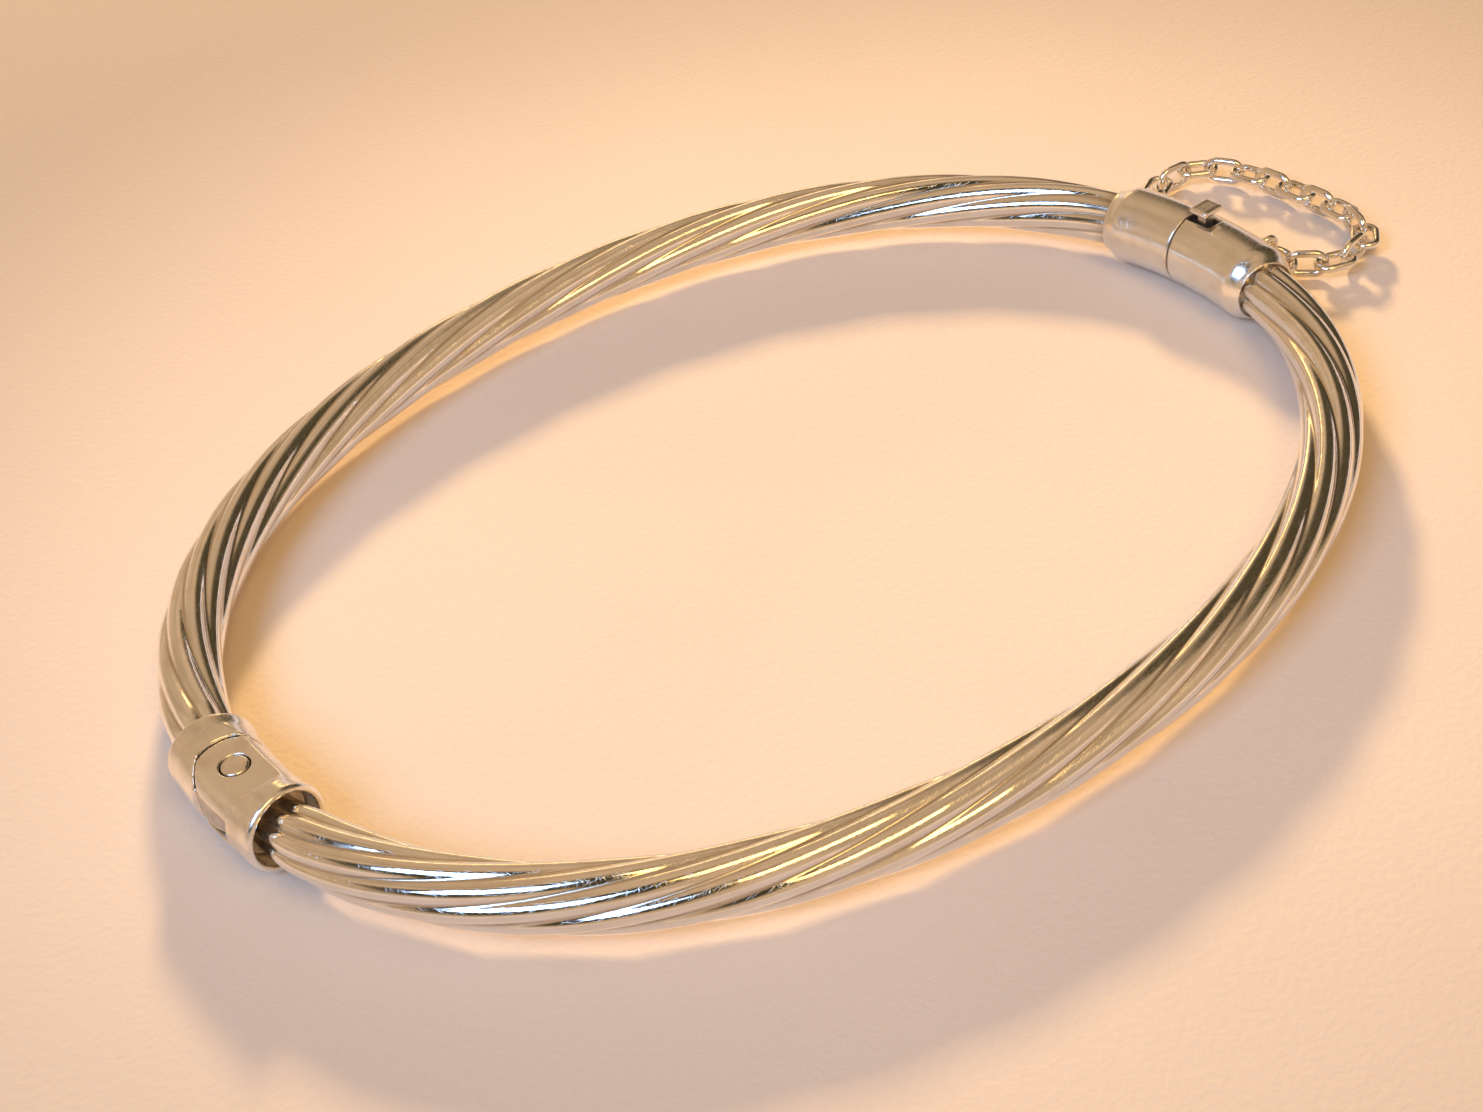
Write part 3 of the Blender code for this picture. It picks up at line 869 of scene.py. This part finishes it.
@dataclass
class Sleeved:
    """Sleeves that a tube's end sits in; the hinge and the clasp are both made of them.

    Attributes:
        sleeve: Radius of the sleeves.
        cup: Radius of the cup behind a mouth.
        cup_depth: Depth of the cup.
        cup_shade_past: Length past the cup's floor that still gets painted shade.
        cup_shade_strength: How dark the painted shade on the cup's floor is.
        grain: Size of the even faces of a worn sleeve.
    """

    sleeve: float = 2.2
    cup: float = 1.82
    cup_depth: float = 1.3
    cup_shade_past: float = 0.2
    cup_shade_strength: float = 0.75
    grain: float = 0.05

    def _cup_shape(self, mouth: float, end: float, flare: Sequence[Row] = ()) -> Shape:
        """Cutter for the cup behind a mouth.

        Args:
            mouth: Arc length of the mouth.
            end: How far behind the mouth the straight wall ends.
            flare: Distance behind the mouth and extra radius of each further ring.

        Returns:
            The cutter.
        """
        inside = self._inside(mouth)
        rows = evenly(mouth + inside * self.cup_depth, mouth + inside * end, self.cup)
        rows += [(mouth + inside * deep, self.cup + more) for deep, more in flare]
        return sweep_rows("cup", rows, 64)

    def _cup_shade(self, vert: bmesh.types.BMVert, back: Matrix, inside: float) -> float:
        """How much painted shade a point of a sleeve gets in its cup, more the deeper it lies.

        Args:
            vert: Point of the sleeve.
            back: Matrix from the ring to the mouth's own axes.
            inside: Way into the sleeve along the ring, 1 or -1.

        Returns:
            Mark from 0 to 1.
        """
        local = back @ vert.co
        deep = inside * local.z
        # Painted shade: darker the deeper a point lies in the cup.
        if math.hypot(local.x, local.y) < self.cup + 0.02 and deep < self.cup_depth + self.cup_shade_past:
            return min(1.0, max(0.0, deep) / self.cup_depth) * self.cup_shade_strength
        return 0.0

    def _inside(self, mouth: float) -> float:
        """Way into a sleeve from its mouth along the ring."""
        raise NotImplementedError

    def _extra_mark(self, spot: Vector) -> float:
        """How dark a point is marked for anything but its cup."""
        raise NotImplementedError

    def _complete(self, block: Block, mouth: float, body: str, node: str) -> None:
        """Wear a sleeve, mark the painted shade in its cup and its other dark marks, and dress it.

        Args:
            block: The sleeve as it was cut.
            mouth: Arc length of its mouth.
            body: Body that carries it.
            node: Node it stands for.
        """
        shape = block.wear(self.grain, 3)
        back = OVAL.station(mouth).inverted()
        inside = self._inside(mouth)
        for vert in shape.work.verts:
            mark = max(self._cup_shade(vert, back, inside), self._extra_mark(vert.co))
            vert[shape.crease] = max(0.0, min(1.0, mark))
        finish(shape, WORN_FITTING, body, [node], faces_set=True)


# ---- Hinge ----


@dataclass
class Hinge(Sleeved):
    """Fork sleeve, knuckle sleeve and the rivet they turn on.

    Attributes:
        length: Arc length from the pivot to a sleeve's open mouth.
        flat: Height of the flats above and below the axis.
        lug: Radius of the fork's round end.
        slot: Half the gap between the lugs.
        knuckle_half: Half the knuckle's thickness.
        knuckle: Radius of the knuckle's round end.
        collar: Radius of the hollow end of the back sleeve round the lugs.
        collar_start: Nearest the back sleeve comes to the pivot line.
        pin: Radius of the rivet's shank.
        head: Radius of the rivet's heads.
        head_depth: Thickness of the heads.
        lip: Length of the swelling at a mouth.
        swell: How much a mouth swells.
        roll: Length and depth of a lip's rounded edge.
        flare: Distance behind a mouth and extra radius of each ring of the cup's flare.
        half_span: Half the width of a cutter across a sleeve.
    """

    length: float = 3.7
    flat: float = 1.75
    lug: float = 1.95
    slot: float = 0.86
    knuckle_half: float = 0.8
    knuckle: float = 1.9
    collar: float = 2.01
    collar_start: float = 0.95
    pin: float = 0.6
    head: float = 0.68
    head_depth: float = 0.28
    lip: float = 0.9
    swell: float = 0.06
    roll: Row = (0.27, 0.2)
    flare: tuple[Row, ...] = ((0.1, 0.03), (0.0, 0.12), (-1.0, 0.12))
    half_span: float = 3.6

    def __post_init__(self) -> None:
        """Find the pivot on the oval."""
        self.pivot = OVAL.point(OVAL.half)

    def build(self) -> None:
        """Make the three pieces of the hinge."""
        self.fork()
        self.back_sleeve()
        self.rivet()

    def _mouth_rows(self, root: float, mouth: float) -> list[Row]:
        """Rows of a sleeve that swells a little into a rolled lip at its mouth."""
        way = math.copysign(1.0, mouth - root)
        plain = self.sleeve - self.swell
        rows = evenly(root, mouth - way * self.lip, plain)
        for part in np.linspace(0.15, 0.7, 4):
            rows.append((mouth - way * self.lip * (1.0 - part), plain + self.swell * part / 0.7))
        for turn in np.linspace(0.0, QUARTER_TURN, 6)[1:]:
            rows.append((mouth - way * self.roll[0] * (1.0 - math.sin(turn)),
                         self.sleeve - self.roll[1] * (1.0 - math.cos(turn))))
        return rows

    def _inside(self, mouth: float) -> float:
        """Way into a sleeve from its mouth along the ring."""
        return -1.0 if mouth < 0.0 else 1.0

    def _extra_mark(self, spot: Vector) -> float:
        """Grime in the rivet's groove, and a darker mark in the slot between the lugs."""
        from_pin = math.hypot(spot.x - self.pivot.x, spot.y - self.pivot.y)
        mark = 1.0 - abs(from_pin - self.head - 0.03) / 0.09
        if abs(spot.z - self.pivot.z) < self.slot + 0.02 and from_pin < self.lug + 0.15:
            mark = max(mark, 0.7)
        return mark

    def _rivet_hole(self, groove: float) -> Shape:
        """Cutter for the rivet's hole, with a fine groove round the heads."""
        head = self.head + 0.05
        shank = self.pin + 0.05
        neck = self.flat - self.head_depth
        half = [(0.0, BEYOND), (head + groove, BEYOND), (head + groove, self.flat), (head, self.flat - 0.09),
                (head, neck), (shank, neck)]
        return turned("hole", self._mirrored(half), self.pivot, 64)

    @staticmethod
    def _mirrored(half: Sequence[Row]) -> list[Row]:
        """Upper half of a profile followed by the same below the axis."""
        return [*half, *((radius, -height) for radius, height in reversed(half))]

    def _round_end(self, radius: float, far_y: float, half_width: float, low: float,
                   high: float) -> Shape:
        """Upright plate with one round end about the pivot and straight sides.

        Args:
            radius: Radius of the round end.
            far_y: Where the plate stops, along Y.
            half_width: Half its width past the round end.
            low: Lowest height, from the axis.
            high: Highest height, from the axis.

        Returns:
            The plate.
        """
        way = -1.0 if far_y < 0.0 else 1.0
        x, y = self.pivot.x, self.pivot.y
        outline = [Vector((x + radius * math.cos(turn), y - way * radius * math.sin(turn),
                           self.pivot.z + low))
                   for turn in np.linspace(0.0, math.pi, 49)]
        corners = [(-half_width, far_y), (half_width, far_y)]
        if half_width != radius:
            corners = [(-half_width, 0.0), *corners, (half_width, 0.0)]
        outline += [Vector((x + dx, y + to_y, self.pivot.z + low)) for dx, to_y in corners]
        return plate("round_end", outline, Vector((0.0, 0.0, high - low)))

    def _flatten(self, block: Block, outline: Sequence[Row]) -> None:
        """Cut the same step into the top and the bottom of a sleeve.

        Args:
            block: Sleeve to cut.
            outline: Corners of the cut, along the sleeve and up from the axis.
        """
        for sign in (1.0, -1.0):
            corners = [Vector((self.pivot.x - self.half_span, y, self.pivot.z + sign * z))
                       for y, z in outline]
            block.cut(plate("flat", corners, Vector((2.0 * self.half_span, 0.0, 0.0))))

    def fork(self) -> None:
        """Front sleeve: rolled lip, flats above and below, and two round lugs."""
        mouth = -OVAL.half + self.length
        span = (-self.half_span, self.half_span)
        rows = list(reversed(self._mouth_rows(-OVAL.half - 2.1, mouth)))
        block = Block(sweep_rows("hinge_fork", rows, 96))
        block.work("INTERSECT", self._round_end(self.lug, -8.0, 3.2, -BEYOND, BEYOND))
        self._flatten(block, [(3.2, self.flat), (-1.75, self.flat), (-2.2, self.flat + 0.08),
                              (-2.55, self.flat + 0.24), (-2.85, self.flat + 0.52), (-2.95, 3.4), (3.2, 3.4)])
        block.cut(cuboid("slot", self.pivot, span, (-2.1, 3.4), (-self.slot, self.slot)),
                  self._cup_shape(mouth, 0.25, self.flare), self._rivet_hole(0.05))
        self._complete(block, mouth, "front_half", "hinge_fork_sleeve")

    def back_sleeve(self) -> None:
        """Back sleeve: a short round tube hollowed round the lugs, with the knuckle in their slot."""
        mouth = OVAL.half - self.length
        every = (-BEYOND, BEYOND)
        rows = list(reversed(self._mouth_rows(OVAL.half - 0.2, mouth)))
        block = Block(sweep_rows("hinge_knuckle", rows, 96))
        collar = self._mirrored([(0.0, BEYOND), (self.collar, BEYOND)])
        block.cut(turned("collar", collar, self.pivot, 96),
                  cuboid("collar_end", self.pivot, every, (-3.0, self.collar_start), every))
        self._flatten(block, [(0.5, self.flat + 0.1), (1.9, self.flat + 0.1), (2.3, self.flat + 0.18),
                              (2.8, self.flat + 0.36), (3.1, 3.4), (0.5, 3.4)])
        leaf = self._round_end(self.knuckle, 2.3, self.knuckle, -self.knuckle_half, self.knuckle_half)
        block.work("UNION", leaf)
        block.cut(self._cup_shape(mouth, 0.25, self.flare), self._rivet_hole(0.0))
        self._complete(block, mouth, "back_half", "hinge_knuckle_sleeve")

    def rivet(self) -> None:
        """Rivet with two flush heads, each with a worn edge."""
        top = self.flat + 0.035
        neck = self.flat - self.head_depth
        half = [(0.0, top), (self.head - 0.3, top - 0.004), (self.head - 0.12, top - 0.015),
                (self.head - 0.05, top - 0.04), (self.head - 0.01, top - 0.09), (self.head, top - 0.14),
                (self.head, neck + 0.02), (self.pin, neck)]
        shape = turned("rivet_pin", self._mirrored(half), self.pivot, 64)
        for vert in shape.work.verts:
            reach = math.hypot(vert.co.x - self.pivot.x, vert.co.y - self.pivot.y)
            vert[shape.crease] = max(0.0, min(1.0, (reach - self.head + 0.06) / 0.06))
        finish(shape, RIVET_STEEL, "front_half", ["hinge_rivet"])


# ---- Clasp ----


@dataclass
class Clasp(Sleeved):
    """Box sleeve, tongue sleeve and the thumb button over the folded tongue.

    The cup here is only the shallow rim round a tube, above the solder.

    Attributes:
        box_length: Arc length of the box sleeve.
        tongue_length: Arc length of the tongue sleeve.
        seam: Half the gap where the sleeves meet.
        recess: Radius of the recess for the mouth plate.
        recess_depth: Depth of that recess.
        tube_inside: Length of a tube inside its sleeve.
        taper: Length over which a sleeve narrows to its mouth, and by how much.
    """

    box_length: float = 6.4
    tongue_length: float = 5.4
    seam: float = 0.03
    recess: float = 1.75
    recess_depth: float = 0.45
    cup: float = 1.67
    cup_depth: float = 0.22
    cup_shade_past: float = 0.1
    cup_shade_strength: float = 0.5
    tube_inside: float = 1.25
    taper: Row = (1.15, 0.42)
    grain: float = 0.055

    def __post_init__(self) -> None:
        """Find the seam on the oval."""
        self.origin = (OVAL.point(0.0).x, 0.0, OVAL.height)

    def build(self) -> None:
        """Make the clasp's pieces."""
        self.box()
        self.tongue()
        self.button()
        for name, metal in (("box_mouth_plate", WORN_FITTING), ("tongue_leaf", SPRING_STRIP),
                            ("snap_leaf", SPRING_STRIP)):
            self._dress(name, metal)

    @staticmethod
    def _dress(node: str, metal: Silver) -> None:
        """Give a carried node its finish."""
        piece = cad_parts[node]
        for index in range(len(piece.data.materials)):
            piece.data.materials[index] = metal.material()
        LOG.info("%s keeps its mesh", node)

    def _mouth_rows(self, root: float, mouth: float) -> list[Row]:
        """Rows of a sleeve with a softened seam edge and a rounded lip."""
        way = math.copysign(1.0, mouth - root)
        rows = [(root, self.sleeve - 0.07), (root + way * 0.03, self.sleeve - 0.03),
                (root + way * 0.07, self.sleeve - 0.01)]
        rows += evenly(root + way * 0.12, mouth - way * 1.2, self.sleeve)
        for part in np.linspace(0.0, 1.0, 9)[1:]:
            drop = part * part * (3.0 - 2.0 * part)
            rows.append((mouth - way * self.taper[0] * (1.0 - part), self.sleeve - self.taper[1] * drop))
        return rows

    def _inside(self, mouth: float) -> float:
        """Way into a sleeve from its mouth along the ring."""
        return 1.0 if mouth < 0.0 else -1.0

    def _extra_mark(self, spot: Vector) -> float:
        """Grime at the seam."""
        return 1.0 - abs(spot.y) / 0.16

    def box(self) -> None:
        """Box sleeve of the front half, open at the seam for the tongue."""
        mouth = -self.box_length
        block = Block(sweep_rows("clasp_box", self._mouth_rows(-self.seam, mouth), 96))
        block.cut(self._cup_shape(mouth, -1.0),
                  sweep_rows("recess", evenly(-self.recess_depth, 1.0, self.recess), 64),
                  cuboid("cavity", self.origin, (-1.45, 1.2), (-4.4, -0.2), (-1.1, 1.15)),
                  cuboid("notch", self.origin, (-0.55, 0.5), (-1.8, 0.5), (0.0, BEYOND)))
        self._complete(block, mouth, "front_half", "box_sleeve")

    def tongue(self) -> None:
        """Tongue sleeve of the back half, slit for the leaf."""
        mouth = self.tongue_length
        block = Block(sweep_rows("clasp_tongue", self._mouth_rows(self.seam, mouth), 96))
        block.cut(self._cup_shape(mouth, -1.0),
                  cuboid("slit", self.origin, (-1.04, 1.04), (-1.0, 1.6), (-0.8, -0.4)))
        self._complete(block, mouth, "back_half", "tongue_sleeve")

    def button(self) -> None:
        """Thumb button: a small pillow with three gripping grooves on a square stem, the stem and the
        pillow's lowest edge darkened with painted shade.
        """
        pillow = cuboid("thumb_piece", self.origin, (-0.75, 0.75), (-1.65, -0.35), (2.7, 3.05), 0.16)
        block = Block(pillow)
        block.work("UNION", cuboid("stem", self.origin, (-0.36, 0.36), (-1.3, -0.7), (0.73, 2.85)))
        for y in (-1.2, -1.0, -0.8):
            block.cut(cuboid("groove", self.origin, (-1.0, 1.0), (y - 0.04, y + 0.04), (2.98, 3.3)))
        shape = block.wear(0.03, 6)
        for vert in shape.work.verts:
            # Painted shade on the stem and the pillow's lowest edge: the part below this height gets the
            # darker colour.
            vert[shape.crease] = 0.8 if vert.co.z < OVAL.height + 2.74 else 0.0
        finish(shape, WORN_FITTING, "snap_tongue", ["thumb_button"], faces_set=True)


# ---- Safety chain ----


@dataclass
class SafetyChain:
    """Two staples, two jump rings and the oval links between them.

    Attributes:
        link_wire: Radius of the links' wire.
        link_end: Radius of a link's round ends, at the wire's middle.
        link_straight: Length of a link's straight sides.
        slack: Extra length of the two middle links, where the chain's halves meet.
        ring_wire: Radius of the jump rings' wire.
        ring_radius: Radius of a jump ring, at the wire's middle.
        staple_wire: Radius of the staples' wire.
        staple_out: How far a staple stands from the tube's axis.
        front_at: Arc length of the front staple.
        back_at: Arc length of the back staple.
        staple_high: Height of the staples' upper foot above the axis.
        staple_low: Height of their lower foot.
        staple_bend: Radius of their bends.
        sleeve: Radius of the sleeve they stand on.
        sides: Faces round the wire of a link or ring.
    """

    link_wire: float = 0.222
    link_end: float = 0.65
    link_straight: float = 0.9
    slack: float = 0.12
    ring_wire: float = 0.198
    ring_radius: float = 1.0
    staple_wire: float = 0.218
    staple_out: float = 3.3
    front_at: float = -3.0
    back_at: float = 4.4
    staple_high: float = 0.55
    staple_low: float = -1.3
    staple_bend: float = 0.3
    sleeve: float = 2.2
    sides: int = 14

    def build(self) -> None:
        """Make the staples, rings and links in order along the chain."""
        self.staple("front_chain_eye", self.front_at, "front_half")
        self.staple("back_chain_eye", self.back_at, "back_half")
        for name in sorted(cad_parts):
            if name.startswith("chain_ring"):
                self.jump_ring(name)
            elif name.startswith("chain_link"):
                self.link(name)

    @staticmethod
    def _placing(node: str) -> Matrix:
        """Centre and lie of a ring or link, from the spread of its node's corners.

        Args:
            node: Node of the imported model.

        Returns:
            Matrix in millimetres whose X runs across, Y along and Z square to the loop.
        """
        spots = np.array([vert.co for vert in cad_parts[node].data.vertices], float)
        spots = np.unique(np.round(spots / MM, 4), axis=0)
        middle = spots.mean(0)
        _, axes = np.linalg.eigh(np.cov((spots - middle).T))
        square, across, along = (Vector(axis) for axis in axes.T)
        if across.cross(along).dot(square) < 0.0:
            square = -square
        return placing(across, along, square, Vector(middle))

    def _hang(self, shape: Shape, inner: float) -> None:
        """Dull the inside of the bends, bring a ring or link to its place and dress it.

        Args:
            shape: The ring or link, which has its node's name.
            inner: Distance from the middle below which neighbours rub and grime stays.
        """
        node = shape.name
        for vert in shape.work.verts:
            reach = math.hypot(vert.co.x, vert.co.y)
            vert[shape.crease] = max(0.0, min(1.0, (inner - reach) / 0.18)) * 0.8
        bmesh.ops.transform(shape.work, matrix=self._placing(node), verts=shape.work.verts)
        finish(shape, CHAIN_WIRE, node, [node]).name = "wire_" + node[6:]

    def _wire_end(self, shape: Shape, wire: float, reach: float, high: float = 0.0) -> list:
        """Circle of wire at the start of a bend, as edges in order."""
        upright = Matrix.Rotation(QUARTER_TURN, 4, "X")
        return shape.rim(shape.ring(self.sides, wire, Matrix.Translation((reach, high, 0.0)) @ upright))

    @staticmethod
    def _bend(shape: Shape, edges: Sequence[bmesh.types.BMEdge], high: float, angle: float,
              steps: int) -> list:
        """Spin a circle of wire round a centre.

        Args:
            shape: Shape the circle belongs to.
            edges: Edges of the circle.
            high: Place of the centre along Y.
            angle: How far it is spun; a full turn closes on itself.
            steps: Faces along the bend.

        Returns:
            Edges of the last circle.
        """
        verts = {vert for edge in edges for vert in edge.verts}
        made = bmesh.ops.spin(shape.work, geom=[*verts, *edges], cent=(0.0, high, 0.0),
                              axis=(0.0, 0.0, 1.0), angle=angle, steps=steps,
                              use_merge=angle == FULL_TURN, use_duplicate=False)
        return [part for part in made["geom_last"] if isinstance(part, bmesh.types.BMEdge)]

    def link(self, name: str) -> None:
        """One oval link: two half rounds joined by straight sides."""
        shape = Shape(name)
        straight = self.link_straight + (self.slack if name[-2:] in ("08", "09") else 0.0)
        first = self._wire_end(shape, self.link_wire, self.link_end, straight / 2.0)
        bent = self._bend(shape, first, straight / 2.0, math.pi, 16)
        grown = bmesh.ops.extrude_edge_only(shape.work, edges=bent)["geom"]
        moved = {part for part in grown if isinstance(part, bmesh.types.BMVert)}
        bmesh.ops.translate(shape.work, verts=list(moved), vec=(0.0, -straight, 0.0))
        edges = [edge for edge in grown if isinstance(edge, bmesh.types.BMEdge)
                 and moved.issuperset(edge.verts)]
        last = self._bend(shape, edges, -straight / 2.0, math.pi, 16)
        bmesh.ops.bridge_loops(shape.work, edges=first + last)
        self._hang(shape, self.link_end - 0.02)

    def jump_ring(self, name: str) -> None:
        """One round jump ring."""
        shape = Shape(name)
        self._bend(shape, self._wire_end(shape, self.ring_wire, self.ring_radius), 0.0, FULL_TURN, 40)
        self._hang(shape, self.ring_radius - 0.02)

    def staple(self, name: str, along: float, body: str) -> None:
        """Wire staple on the outer side of a sleeve, with a puddle of solder at each foot.

        Args:
            name: Node it stands for.
            along: Arc length of the staple.
            body: Body that carries it.
        """
        bend = self.staple_bend
        path = [(self._foot(self.staple_high - self.staple_wire), self.staple_high)]
        for middle, start in ((self.staple_high - bend, 0.0), (self.staple_low + bend, QUARTER_TURN)):
            for turn in np.linspace(start, start + QUARTER_TURN, 6):
                path.append((self.staple_out - bend + bend * math.sin(turn), middle + bend * math.cos(turn)))
        path.append((self._foot(self.staple_low + self.staple_wire), self.staple_low))
        side = Vector((0.0, 0.0, 1.0))
        circles = []
        for i, (out, up) in enumerate(path):
            before, after = path[max(0, i - 1)], path[min(len(path) - 1, i + 1)]
            ahead = Vector((before[0] - after[0], after[1] - before[1], 0.0)).normalized()
            spot = placing(side, ahead.cross(side), ahead, Vector((-out, up, 0.0)))
            circles.append((OVAL.station(along) @ spot, self.staple_wire))
        finish(skinned(name, circles, 16), CHAIN_WIRE, body, [name]).name = "wire_" + name

    def _foot(self, height: float) -> float:
        """How far from the axis a staple's foot starts at a height."""
        return math.sqrt(self.sleeve ** 2 - height ** 2) + 0.02


# ---- Studio ----


@dataclass(frozen=True)
class Softbox:
    """Soft light that faces the bangle.

    Attributes:
        name: Name of the light.
        azimuth: Way it stands, in degrees; 0 is in front, 90 at the clasp.
        elevation: Height above the table, in degrees.
        size: Width and height, in metres.
        colour: Colour of the light.
        power: Power in watts.
        mirrored: Whether the silver shows it.
        distance: Distance from the bangle, in metres.
    """

    name: str
    azimuth: float
    elevation: float
    size: tuple[float, float]
    colour: tuple[float, float, float]
    power: float
    mirrored: bool = True
    distance: float = 0.5

    def build(self) -> bpy.types.Object:
        """Stand the light in its place."""
        lamp = bpy.data.lights.new(self.name, "AREA")
        lamp.shape = "RECTANGLE"
        lamp.size, lamp.size_y = self.size
        lamp.color = self.colour
        lamp.energy = self.power
        made = stand(self.name, lamp)
        way = direction(self.azimuth, self.elevation)
        made.location = way * self.distance
        made.rotation_mode = "QUATERNION"
        made.rotation_quaternion = (-way).to_track_quat("-Z", "Y")
        made.visible_glossy = self.mirrored
        return made


def direction(azimuth: float, elevation: float) -> Vector:
    """Unit vector towards a place round the bangle, both angles in degrees."""
    a, e = math.radians(azimuth), math.radians(elevation)
    return Vector((math.sin(a) * math.cos(e), -math.cos(a) * math.cos(e), math.sin(e)))


@dataclass
class Studio:
    """Pale table, room, soft lights and the camera.

    Attributes:
        azimuth: Way the camera stands, in degrees; 0 is in front, 90 at the clasp.
        elevation: Height of the camera above the table, in degrees.
        roll: Turn of the camera about its view, in degrees.
        distance: Distance from the camera to its target, in metres.
        lens: Focal length in millimetres.
        target: Point the camera looks at, in metres.
        furniture: Azimuth, elevation, cosines of the edge and the core, and darkness of each dark patch.
        lights: Lights round the bangle.
        wall: Light and dark colour of the wall.
        olive: Colour of the furniture.
        bright_side: Colour of the bright band low on the clasp's side.
        strength: Brightness of the room.
    """

    azimuth: float = -33.27
    elevation: float = 38.17
    roll: float = -8.38
    distance: float = 0.115
    lens: float = 55.2
    target: tuple[float, float, float] = (-0.00869, -0.00262, 0.0016)
    furniture: tuple[tuple[float, float, float, float, float], ...] = (
        (-72.0, 40.0, 0.80, 0.90, 0.95),
        (100.0, 26.0, 0.76, 0.90, 0.92),
        (-38.0, 62.0, 0.93, 0.98, 0.6),
    )
    lights: tuple[Softbox, ...] = (
        Softbox("cool_window", -75.0, 43.0, (0.29, 0.22), (0.44, 0.64, 1.0), 1.6),
        Softbox("warm_lamp", 148.0, 21.0, (0.06, 0.045), (1.0, 0.68, 0.34), 3.5, mirrored=False),
        Softbox("gold_shade", 149.0, 20.0, (0.15, 0.05), (1.0, 0.66, 0.24), 0.06),
        Softbox("gold_lamp", -8.0, 55.0, (0.25, 0.19), (1.0, 0.64, 0.22), 0.62),
    )
    wall: tuple[tuple, tuple] = ((0.80, 0.53, 0.32, 1.0), (0.55, 0.37, 0.215, 1.0))
    olive: tuple = (0.045, 0.036, 0.014, 1.0)
    bright_side: tuple = (1.15, 0.90, 0.82, 1.0)
    strength: float = 0.82

    def build(self) -> None:
        """Set the whole stage."""
        self.table()
        self.room()
        for light in self.lights:
            light.build()
        self.camera()
        bpy.context.scene.view_settings.view_transform = "Standard"

    def table(self) -> None:
        """Lay a wide pale table under the bangle."""
        shape = Shape("table")
        bmesh.ops.create_grid(shape.work, x_segments=4, y_segments=4, size=1.2)
        bmesh.ops.translate(shape.work, verts=shape.work.verts, vec=(0.0, 0.0, -0.00002))
        table = stand("table", shape.mesh("table"))
        table.data.materials.append(Leather().material())

    def room(self) -> None:
        """Warm room that the silver mirrors, with dark olive furniture round the window."""
        world = bpy.data.worlds.new("room")
        bpy.context.scene.world = world
        graph = Graph(world)
        way = graph.add("ShaderNodeTexCoord").outputs["Generated"]
        split = graph.add("ShaderNodeSeparateXYZ", {}, {0: way})
        x, y, z = (Level(graph, split.outputs[i]) for i in range(3))
        clouds = graph.noise(way, 2.4, 2.0)
        dark: Number = 0.0
        for azimuth, elevation, edge, core, weight in self.furniture:
            spot = direction(azimuth, elevation)
            facing = x * spot.x + y * spot.y + z * spot.z + 0.12 * (clouds - 0.5)
            dark = facing.ramped(edge, core) * weight + dark
        right = direction(118.0, 4.0)
        beside = (x * right.x + y * right.y + z * right.z).ramped(0.55, 0.85) * z.ramped(0.20, 0.10)
        wall = graph.blend(clouds.ramped(0.35, 0.65), *self.wall)
        shaded = graph.blend(dark.clipped(), wall, self.olive)
        colour = graph.blend(beside, shaded, self.bright_side)
        back = graph.add("ShaderNodeBackground", {}, {"Color": colour, "Strength": self.strength})
        graph.add("ShaderNodeOutputWorld", {}, {"Surface": back.outputs[0]})

    def camera(self) -> None:
        """Stand the camera in front of the hinge, looking down across the ring."""
        back = direction(self.azimuth, self.elevation)
        flat = Vector((0.0, 0.0, 1.0)).cross(back).normalized()
        up = back.cross(flat)
        turn = math.radians(self.roll)
        right = flat * math.cos(turn) + up * math.sin(turn)
        top = up * math.cos(turn) - flat * math.sin(turn)
        lens = bpy.data.cameras.new("camera")
        lens.lens = self.lens
        lens.sensor_width = 36.0
        lens.clip_start = 0.005
        lens.clip_end = 10.0
        camera = stand("camera", lens)
        camera.matrix_world = placing(right, top, back, Vector(self.target) + back * self.distance)
        bpy.context.scene.camera = camera


def main() -> None:
    """Build the bangle's sub-assemblies in order, then the stage."""
    logging.basicConfig(level=logging.INFO, format="%(message)s")
    hinge = Hinge()
    clasp = Clasp()
    inner = hinge.cup_depth + 0.2
    FlutedTube("fluted_tube_front", "front_tube", "front_half", -OVAL.half + hinge.length - inner,
               -clasp.box_length + clasp.tube_inside).build()
    FlutedTube("fluted_tube_back", "back_tube", "back_half", clasp.tongue_length - clasp.tube_inside,
               OVAL.half - hinge.length + inner).build()
    hinge.build()
    clasp.build()
    SafetyChain().build()
    Studio().build()


if __name__ == "__main__":
    main()
